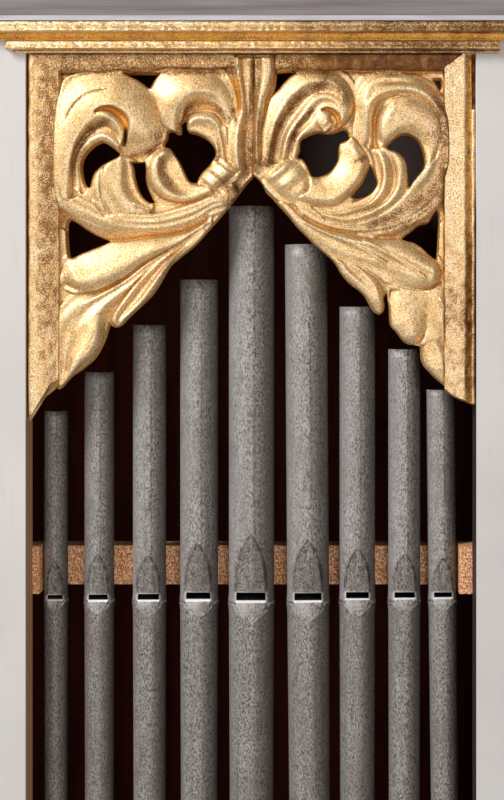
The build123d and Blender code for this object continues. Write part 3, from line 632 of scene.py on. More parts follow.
def relief_map(leaves, knobs, lines):
    """Leaves painted in order, later over earlier; then knobs, lines and a spread into the gaps."""
    relief = np.full(map_columns.shape, ground_level)
    painted = np.zeros(relief.shape, bool)
    for pairs, rows in leaves.values():
        carve_leaf(relief, painted, pairs, rows)
    for (x, y), (half_width, half_height), rise, level in knobs:
        away = ((map_columns - x) / half_width) ** 2 + ((map_rows - y) / half_height) ** 2
        relief[away < 1] = level + rise * np.sqrt(1 - away[away < 1])
    for points, width, rise in lines:
        relief += rise * hump(line_gap(map_columns, map_rows, points), width)
    for _ in range(9):
        weight = blur(painted.astype(float), 1)
        spread = blur(np.where(painted, relief, 0), 1) / np.maximum(weight, 1e-9)
        fresh = ~painted & (weight > 0)
        relief[fresh] = spread[fresh]
        painted |= fresh
    return blur(relief, 3)


def sample(field, x, y):
    """Bilinear value of a map at places in photo pixels."""
    column = (x - map_left) / map_step
    row = (y - map_top) / map_step
    i, j = row.astype(int), column.astype(int)
    down, right = row - i, column - j
    return ((field[i, j] * (1 - right) + field[i, j + 1] * right) * (1 - down)
            + (field[i + 1, j] * (1 - right) + field[i + 1, j + 1] * right) * down)


def closed_line(points):
    """Closed smooth line, cubic between each two points, that keeps its corners sharp; as pairs of ends."""
    points = np.asarray(points, float)
    onward = np.roll(points, -1, axis=0) - points
    back = np.roll(onward, 1, axis=0)
    reach = np.hypot(*onward.T)
    turn = np.abs(np.angle(np.exp(1j * (np.angle(onward @ [1, 1j]) - np.angle(back @ [1, 1j])))))
    corner = (turn > corner_turn)[:, None]
    slope = (onward + back) / 2
    leave = np.where(corner, onward, slope)
    arrive = np.roll(np.where(corner, back, slope), -1, axis=0)
    leave *= np.minimum(1, reach / np.hypot(*leave.T))[:, None]
    arrive *= np.minimum(1, reach / np.hypot(*arrive.T))[:, None]
    part = (np.arange(curve_parts) / curve_parts)[None, :, None]
    line = (points[:, None] * (2 * part**3 - 3 * part**2 + 1)
            + leave[:, None] * (part**3 - 2 * part**2 + part)
            + np.roll(points, -1, axis=0)[:, None] * (3 * part**2 - 2 * part**3)
            + arrive[:, None] * (part**3 - part**2)).reshape(-1, 2)
    return np.stack([line, np.roll(line, -1, axis=0)], axis=1)


def inside(segments, x, y):
    """Even-odd rule: inside where a line to the right crosses the outlines an odd number of times."""
    (x0, y0), (x1, y1) = segments[:, 0].T, segments[:, 1].T
    result = np.zeros(x.size, bool)
    for part in np.array_split(np.arange(x.size), x.size // 4000 + 1):
        level = y.ravel()[part, None]
        crossed = (y0 > level) != (y1 > level)
        place = x0 + (level - y0) * (x1 - x0) / np.where(y1 == y0, 1, y1 - y0)
        result[part] = ((place > x.ravel()[part, None]) & crossed).sum(axis=1) % 2 == 1
    return result.reshape(x.shape)


def nearest_on(segments, x, y):
    """Nearest point on the outlines, and how far it is."""
    start, run = segments[:, 0], segments[:, 1] - segments[:, 0]
    length = np.maximum((run**2).sum(axis=1), 1e-12)
    spots = np.empty((x.size, 2))
    for part in np.array_split(np.arange(x.size), x.size // 3000 + 1):
        gap = np.stack([x[part], y[part]], axis=-1)[:, None] - start
        share = np.clip((gap * run).sum(axis=2) / length, 0, 1)
        away = ((gap - share[..., None] * run) ** 2).sum(axis=2)
        best = away.argmin(axis=1)
        spots[part] = start[best] + share[np.arange(len(part)), best, None] * run[best]
    return spots, np.hypot(spots[:, 0] - x, spots[:, 1] - y)


def relief_board(name, material, relief, border, holes, dust_and_shade_lines):
    """Board with a relief front and a flat back: points near an outline move onto it, cells inside stay."""
    segments = np.concatenate([closed_line(points) for points in [border, *holes]])
    low, high = segments.min(axis=(0, 1)) - 2 * grid_step, segments.max(axis=(0, 1)) + 2 * grid_step
    x, y = np.meshgrid(np.arange(low[0], high[0], grid_step), np.arange(low[1], high[1], grid_step))
    kept = inside(segments, x, y)
    share_inside = blur(kept.astype(float), 5)
    close = (share_inside > 0) & (share_inside < 1)
    spots, gaps = nearest_on(segments, x[close], y[close])
    away = np.full(x.shape, edge_reach)
    away[close] = gaps
    on = away < snap_share * grid_step
    moved = gaps < snap_share * grid_step
    x[on], y[on] = spots[moved].T
    away[on] = 0

    number = np.arange(x.size).reshape(x.shape)
    a, b, c, d = number[:-1, :-1], number[:-1, 1:], number[1:, 1:], number[1:, :-1]
    good = (kept | on).ravel()
    other = (~good[a] | ~good[c]).ravel()
    halves = [np.stack(half, -1).reshape(-1, 3) for half in ([a, d, b], [a, d, c], [b, d, c], [a, c, b])]
    corners = np.concatenate([np.where(other[:, None], halves[0], halves[1]),
                              np.where(other[:, None], halves[2], halves[3])])
    corners = corners[good[corners].all(axis=1)]
    rimmed = on.ravel()[corners].all(axis=1)
    centers = np.stack([x.ravel()[corners].mean(axis=1), y.ravel()[corners].mean(axis=1)])
    stays = ~rimmed
    stays[rimmed] = inside(segments, *centers[:, rimmed])
    corners = corners[stays]
    used, corners = np.unique(corners, return_inverse=True)
    corners = corners.reshape(-1, 3)
    x, y, away = x.ravel()[used], y.ravel()[used], away.ravel()[used]

    height = sample(relief, x, y) - edge_drop * (1 - np.clip(away / edge_reach, 0, 1)) ** 2
    hollow = np.minimum(height - sample(blur(relief, 60), x, y), hollow_limit)
    place_x, place_z = (x - middle_column) * pixel, top_height - y * pixel
    front = traced(place_x, height - shade_recess, place_z)
    back = np.stack([place_x, np.full_like(x, front_face / mm + shade_back), place_z], axis=-1)
    edges = np.concatenate([corners[:, [0, 1]], corners[:, [1, 2]], corners[:, [2, 0]]])
    key = edges[:, 0] * len(x) + edges[:, 1]
    rim = edges[~np.isin(key, edges[:, 1] * len(x) + edges[:, 0])]
    behind = rim + len(x)
    walls = np.concatenate([np.stack([rim[:, 1], rim[:, 0], behind[:, 0]], -1),
                            np.stack([rim[:, 1], behind[:, 0], behind[:, 1]], -1)])
    faces = np.concatenate([corners, corners[:, ::-1] + len(x), walls])
    board = put_mesh(name, np.concatenate([front, back]), faces, material)
    board.data.set_sharp_from_angle(angle=math.radians(50))
    mark_points(board, "hollow", np.concatenate([hollow, np.full(len(x), -2.0)]))
    # Tone: darker down from a line under the frieze, except at the stem, and along the listed lines through
    # channels, hollows and undersides: dust and painted shade, with a little random tone.
    dust_and_shade_top = np.clip((top_dust_and_shade_line - y + 1.5 * ripples(x, y, 4.0, 60)) / 4, 0, 1)
    dust_and_shade = -0.75 * dust_and_shade_top * (np.abs(x - stem_middle) > stem_reach) + 0.15 * ripples(x, y, 9.0, 61)
    for points, width, share in dust_and_shade_lines:
        dust_and_shade += share * hump(line_gap(x, y, points), width) * (1 + 0.4 * ripples(x, y, 5.0, 62))
    mark_points(board, "tone", np.concatenate([dust_and_shade, np.zeros(len(x))]))
    return board


left_leaves = {
    "under_band": ([(62, 205, 62, 222), (80, 217, 80, 231), (100, 226, 100, 240), (130, 231, 130, 241),
                    (165, 230, 165, 238), (190, 223, 190, 232), (208, 212, 206, 224)],
                   [(0, [2, -2, -5]), (6, [2, -1, -3])]),
    "low_leaf": ([(208, 221, 208, 224), (190, 231, 195, 235), (170, 236, 178, 246), (150, 238, 160, 254),
                  (130, 241, 142, 264), (111, 243, 125, 277), (95, 249, 110, 285), (80, 256, 95, 290),
                  (68, 261, 80, 290), (61, 270, 66, 284)],
                 [(0, [1, 1.5, 1.5, 1, 0]), (3, [0.5, 3.2, 5, 5.5, 2]), (6, [0.5, 3.4, 5.8, 7.2, 3]),
                  (8, [0, 3.2, 5, 5.8, 2]), (9, [-1, 0.5, 1, 0.5, -1])]),
    "fan": ([(200, 229, 203, 229), (180, 243, 184, 244), (160, 254, 168, 258), (142, 264, 152, 272),
             (125, 277, 136, 287), (108, 286, 122, 300), (93, 292, 112, 312), (78, 298, 106, 324),
             (66, 308, 104, 336), (57, 320, 101, 346), (53, 334, 94, 356), (54, 350, 84, 364),
             (58, 366, 76, 371), (62, 380, 66, 382)],
            [(0, [1, 1, 1, 1, 1, 1, 1, 1, 1]), (3, [-1, 0, 1.5, 1, 0.5, 1, 2, 1, 0]),
             (6, [-1.5, 0, 3, 1.5, 2.5, 4, 2, 0, -1]), (8, [1.5, 3, 2, 1, 3, 4.5, 5.5, 4, -1]),
             (10, [3, 2.5, 1, 2, 1, 3.5, 5.5, 5, 0]), (12, [2, 1, 0, 1.5, 0, 2, 4, 3.5, 0]),
             (13, [1, 1, 1, 1, 1, 1, 1, 1, 1])]),
    "fan_lobe": ([(196, 236, 200, 234), (178, 247, 188, 246), (160, 260, 176, 257), (145, 273, 166, 271),
                  (132, 286, 156, 286), (121, 300, 146, 300), (113, 312, 134, 312), (111, 321, 125, 321),
                  (116, 327, 120, 327)],
                 [(0, [1, 1, 1, 1, 1, 1, 1]), (2, [0, 2, 0.5, -0.5, 0.5, 3.5, 1]),
                  (4, [-1, 2.5, 0.5, -1, 0, 3.5, 1.5]), (6, [-1, 3.5, 2, 0, 1.5, 3, 1.5]),
                  (7, [-2, 2.5, 3, 1.5, 2, 2, 0]), (8, [-2, 0, 0, 0, 0, 0, -1])]),
    "low_band": ([(62, 192, 62, 209), (72, 190, 72, 214), (85, 196, 85, 220), (100, 204, 100, 226),
                  (115, 211, 115, 229), (135, 212, 135, 231), (155, 212, 155, 231), (175, 207, 175, 228),
                  (195, 201, 195, 221), (212, 195, 212, 210), (224, 195, 224, 206)],
                 [(0, [3, 4, 4, 3.5, 3, 2.5, 1]), (3, [2, 4, 4.5, 3.5, 4, 3, 1.5]),
                  (6, [1, 4.5, 4, 5, 3.5, 4, 2]), (8, [1, 4, 3.5, 4, 2.5, 3, 1.5]),
                  (10, [1, 2, 1.5, 2, 1, 1.5, 0])]),
    "scroll_lobe": ([(115, 157, 122, 156), (103, 163, 130, 160), (95, 172, 134, 172), (91, 184, 136, 184),
                     (92, 196, 141, 194), (97, 207, 148, 203), (104, 216, 150, 212)],
                    [(0, [2, 3, 3, 3, 3, 3, 2]), (2, [2.5, 5.5, 6, 5, 4.5, 1, 0.5]),
                     (4, [3, 5.5, 4.2, 5.8, 5, 2, 2]), (6, [2, 4, 3.5, 4.5, 4.5, 3.5, 3])]),
    "spoon": ([(170, 150, 177, 160), (160, 149, 176, 163), (152, 156, 176, 166), (148, 166, 177, 170),
               (147, 178, 180, 174), (150, 187, 184, 178), (157, 195, 189, 182), (166, 200, 193, 184),
               (180, 203, 198, 184), (195, 200, 203, 184), (208, 194, 210, 184), (218, 188, 216, 182)],
              [(0, [1, 2, 2, 1.5, 1, 1, 1]), (1, [1, 4.5, 5.5, 2.5, 1, 0.5, 0.5]),
               (3, [2, 5.5, 5.5, 2, 0.5, 1, 1.5]), (5, [0, 5, 5.5, 3, 1.5, 1.5, 2]),
               (7, [-1, 5.5, 6, 4, 3, 2.5, 1.5]), (9, [1, 5, 5.5, 5, 4.5, 4, 2]),
               (11, [2, 4, 4.5, 4.5, 4.5, 4, 3])]),
    "top_lobe": ([(240, 112, 222, 118), (236, 95, 220, 110), (228, 80, 214, 101), (215, 70, 208, 98),
                  (200, 67, 203, 97), (185, 68, 196, 98), (170, 71, 190, 101), (159, 78, 186, 106),
                  (152, 89, 183, 112), (154, 102, 181, 118), (158, 115, 180, 124), (163, 125, 179, 129),
                  (170, 131, 178, 132), (176, 133, 178, 133.5)],
                 [(0, [1, 1, 1.5, 2, 2, 1]), (1, [2.5, 0.5, 2, 3, 3, 1]),
                  (2, [2.5, 1.5, 3.5, 4.5, 4.5, 2]), (3, [0.5, 2.5, 4.5, 6, 6.6, 4]),
                  (5, [0.5, 2.8, 5, 7, 7.6, 4]), (7, [0.5, 3, 5.2, 7, 7.2, 4]),
                  (8, [1, 3.6, 5.5, 6.4, 5.8, 2]), (10, [2, 4.5, 5, 5, 4, 0]), (12, [0, 2, 3, 3, 2, -1]),
                  (13, [-2, -1, -1, -1, -1, -2])]),
    "top_hollow": ([(228, 122, 220, 124), (224, 110, 216, 116), (214, 101, 208, 112), (203, 97, 200, 112),
                    (192, 100, 192, 113), (185, 107, 187, 117), (182, 116, 184, 122),
                    (181, 126, 182, 128)],
                   [(0, [3, 1, 0, 1]), (2, [4, 1, -2, -3]), (4, [3.5, 0, -3, -4]), (7, [2, -1, -3, -4])]),
    "curl": ([(187, 127, 189, 131), (188, 121, 193, 132), (193, 115, 198, 134), (202, 112.5, 205, 138),
              (212, 113, 211, 143), (219, 120, 215, 149), (224, 131, 216, 155), (228, 143, 214, 160),
              (230, 155, 212, 164), (232, 165, 212, 168)],
             [(0, [0, 1, 1, 1, 1, 0]), (1, [1, 4, 3, 2, 2, 1]), (3, [2, 5, 3, 2, 2.5, 1]),
              (5, [2, 4.5, 3.5, 3, 3.5, 2]), (6, [3, 2, 4.5, 2, 4.5, 2]), (7, [4.5, 1.8, 4.5, 2, 4.5, 2]),
              (9, [4.5, 2, 4.5, 2.5, 4.5, 2.5])]),
    "wedge": ([(231, 70, 234, 68), (233, 80, 237, 80), (235, 90, 239.5, 90), (237, 100, 241, 100),
               (238, 110, 242, 108), (238, 117, 241, 116)],
              [(0, [1, 1, 1]), (1, [0, -2, 0]), (2, [0, -3, -2]), (4, [0, -3, -2]), (5, [1, 1, 1])]),
    "stem": ([(234, 58, 254, 56), (236, 75, 253.5, 80), (240, 95, 253, 100), (239.5, 110, 253, 120),
              (231, 124, 253, 140), (228, 145, 253, 160), (231, 162, 254, 172), (235, 175, 250, 178)],
             [(0, [3, 5.5, 2, 1, 3, 3.5, 2]), (1, [2, 5.5, 1.5, 1, 2.5, 2.5, 1]),
              (2, [1, 5.5, 2.5, 1.5, 2.5, 0.5, 0.5]), (3, [1.5, 5.5, 4, 1, 0.5, 0, 0.5]),
              (4, [2, 4, 6, 3, 0, 0, 0.5]), (5, [2.5, 4.5, 6.5, 4.5, 0, -0.5, 0]),
              (6, [3, 5.5, 6.5, 2, -0.5, -1, 0]), (7, [3, 3, 1, -0.5, -1, -1, 0])]),
    "binding": ([(199, 178, 214, 192), (203, 173, 219, 187), (207, 169, 224, 183), (211, 165, 229, 179),
                 (216, 160, 235, 175), (220, 157, 240, 171)],
                [(0, [1, 2.5, 3.5, 3, 0]), (0.5, [1.5, 4.2, 6, 6, 2]), (1.9, [1.5, 4.6, 6.8, 6.8, 2]),
                 (2.15, [1, 2.6, 4.6, 4.4, 1]), (2.4, [1.5, 4.5, 6.6, 6.6, 2]),
                 (3.8, [1.5, 4.7, 6.8, 6.8, 2]), (4.05, [1, 2.6, 4.4, 4, 1]), (4.3, [1.5, 4, 6, 5.5, 2]),
                 (5, [2, 3.5, 5, 4, 1])]),
    "scroll": ([(61, 198, 69, 200), (56, 180, 69, 180), (53, 160, 69, 162), (52, 140, 73, 145),
                (54, 120, 79, 131), (59, 105, 87, 121), (63, 92, 93, 113), (70, 82, 98, 109),
                (82, 77, 104, 106), (98, 74, 110, 105.5), (115, 73, 116, 107), (130, 78, 121, 111),
                (143, 86, 125, 115), (152, 97, 127, 119), (157, 109, 127.5, 123), (160, 121, 127.5, 127),
                (163, 131, 127, 132), (163, 139, 126, 137), (158, 146, 125, 142), (148, 153, 123, 148),
                (135, 157, 121, 155)],
               [(0, [3.5, 5, 4.8, 4.5, 3.5]), (1, [4.6, 5.3, 5.4, 5.2, 4.5]), (3, [4.2, 5.3, 6.2, 6.4, 6]),
                (5, [3.5, 5, 6.4, 7.2, 7.4]), (6, [2.5, 4.4, 6.2, 7.6, 8.2]), (7, [0.8, 3.6, 6, 7.8, 8.6]),
                (9, [0.8, 3.6, 6, 7.8, 8.8]), (12, [0.5, 3.3, 5.6, 7.2, 8]), (15, [0, 2.5, 4.8, 6.3, 7]),
                (16, [-0.5, 2, 4.2, 5.5, 6]), (17, [-1, 1, 3, 4, 4.5]), (18, [-2, 0, 1, 1.5, 2]),
                (20, [-4, -3, -2, -2, -1])]),
    "undercut": ([(94.5, 110.8, 95, 111.4), (101, 106.9, 101.5, 110.2), (110.8, 105.9, 109, 112),
                  (119, 109.1, 114, 115.6), (125.3, 114, 118.9, 120.4), (128.5, 120.4, 122.1, 125.2),
                  (128.5, 127, 124, 129), (127, 135, 124.5, 135.5), (125.5, 145, 123, 144)],
                 [(0, [6, 4, 6]), (1, [5, -1, 4]), (3, [5, -2.5, 2.5]), (5, [5, -2.5, 2]), (6, [3, -3, 0]),
                  (8, [1, -3, 0])]),
    "inner_curl": ([(69, 200, 82, 192), (69, 180, 80, 180), (70, 162, 78, 165), (73, 147, 80, 157),
                    (79, 133, 85, 150), (88, 120, 91, 145), (97, 112, 98, 142), (105.5, 111, 104, 141),
                    (113.5, 115, 108, 143), (120, 122, 112, 146), (123.5, 131, 115, 148.5),
                    (123.5, 139, 117, 150), (120, 146, 118, 150)],
                   [(0, [3.5, 2, 0, 0, 1, 1, 0]), (2, [5.5, 2.5, 0, -0.5, 0.5, 1.5, 0.5]),
                    (4, [7.2, 4.5, 1.2, 0, 0.5, 2.5, 1]), (5, [8, 6.5, 3, 0.5, 1.5, 3, 1.5]),
                    (7, [6.5, 8, 5, 2.2, 3, 5.2, 3]), (9, [5, 7, 5.5, 3, 4.5, 6, 3]),
                    (11, [3.5, 5, 6, 5, 5.5, 5, 2]), (12, [1, 1, 1, 1, 1, 1, 1])]),
}
left_knobs = [((229, 194), (9.5, 12), 3.2, 0.8)]
left_lines = [
    ([(66, 118), (70, 110), (77, 101), (87, 93.5), (95, 90.5), (102, 89)], 0.7, -1.1),
    ([(103, 163), (101, 175), (101, 190), (104, 203), (110, 214)], 1.6, -1.6),
    ([(75, 189), (85, 196), (95, 202), (104, 210)], 1.3, 0.8),
    ([(135, 204), (145, 208), (157, 209), (170, 204)], 1.5, 2.2),
]
left_border = [(254, 57), (254, 80), (253, 175), (247, 183), (240, 192), (231, 204), (214, 224),
               (195, 245), (178, 259), (170, 266), (160, 283), (152, 295), (143, 304), (128, 318),
               (121, 325.5), (116, 328), (111, 325), (109.5, 323), (106, 335), (103, 343), (98, 353),
               (92, 361), (80, 371), (71, 377), (60, 389), (58, 389), (58, 215), (57.5, 205), (54.5, 190),
               (53, 175), (52.5, 155), (53, 130), (54, 118), (56, 105), (58.5, 94), (61, 84), (61, 57)]
left_holes = [
    [(124, 73.5), (140, 73), (160, 73.5), (155, 80), (150.5, 88), (148, 88), (143, 84), (137, 80),
     (130, 76.5)],
    [(103, 142), (110, 146), (120.5, 154), (118, 157), (110, 161), (103, 165), (97, 170), (93, 176),
     (91, 184), (90, 187.5), (86, 187), (84, 183), (82, 176), (81, 168), (82, 160), (86, 153), (92, 147),
     (97, 143.5)],
    [(131, 162), (145, 162), (146, 170), (146, 180), (148, 188), (151, 195), (155, 203), (150, 203),
     (144, 199), (139, 192), (136, 184), (134, 176), (133, 168)],
    [(181, 124), (183, 121.5), (187, 121), (187, 128), (189, 132), (197, 134), (205, 138), (211, 143.5),
     (215, 150), (215.5, 155), (213, 160), (209, 166), (204, 171), (200, 176), (197, 183), (193, 183),
     (188, 180), (184, 172), (180, 163), (174, 154), (170, 149), (165, 147), (164, 144), (167, 138),
     (167.5, 132), (172, 131), (178, 134), (181, 133)],
    [(67, 223), (70, 219.5), (78, 224), (88, 231), (97, 236), (111, 241.5), (104, 245), (92, 249.5),
     (80, 254.5), (73, 258), (69, 257.5), (67.5, 250), (66.5, 235)],
]
# Darkened lines along channels, hollows, creases and undersides: dust and painted shade. Each is points, a
# width and a share of tone.
left_dust_and_shade = [
    ([(252, 64), (253, 90), (252, 120), (251, 150), (246, 176), (238, 188)], 5.0, -0.65),
    ([(73, 172), (76, 156), (84, 140), (94, 129), (106, 122)], 4.5, -0.6),
    ([(186, 120), (188, 108), (200, 102), (214, 105), (224, 118)], 3.5, -0.45),
    ([(150, 151), (157, 143), (161, 130)], 5.5, -0.5),
    ([(160, 158), (162, 172), (172, 186)], 5.0, -0.4),
    ([(66, 118), (70, 110), (77, 101), (87, 93.5), (95, 90.5), (106, 88.5)], 0.8, -0.9),
    ([(63, 76), (66, 75), (70, 73)], 4.0, -0.8),
    ([(233, 110), (235, 118), (237, 124)], 2.5, -0.7),
    ([(229, 186), (230, 200)], 8.0, -0.6),
    ([(126, 128), (125.5, 136), (124.5, 146)], 1.6, -0.9),
]

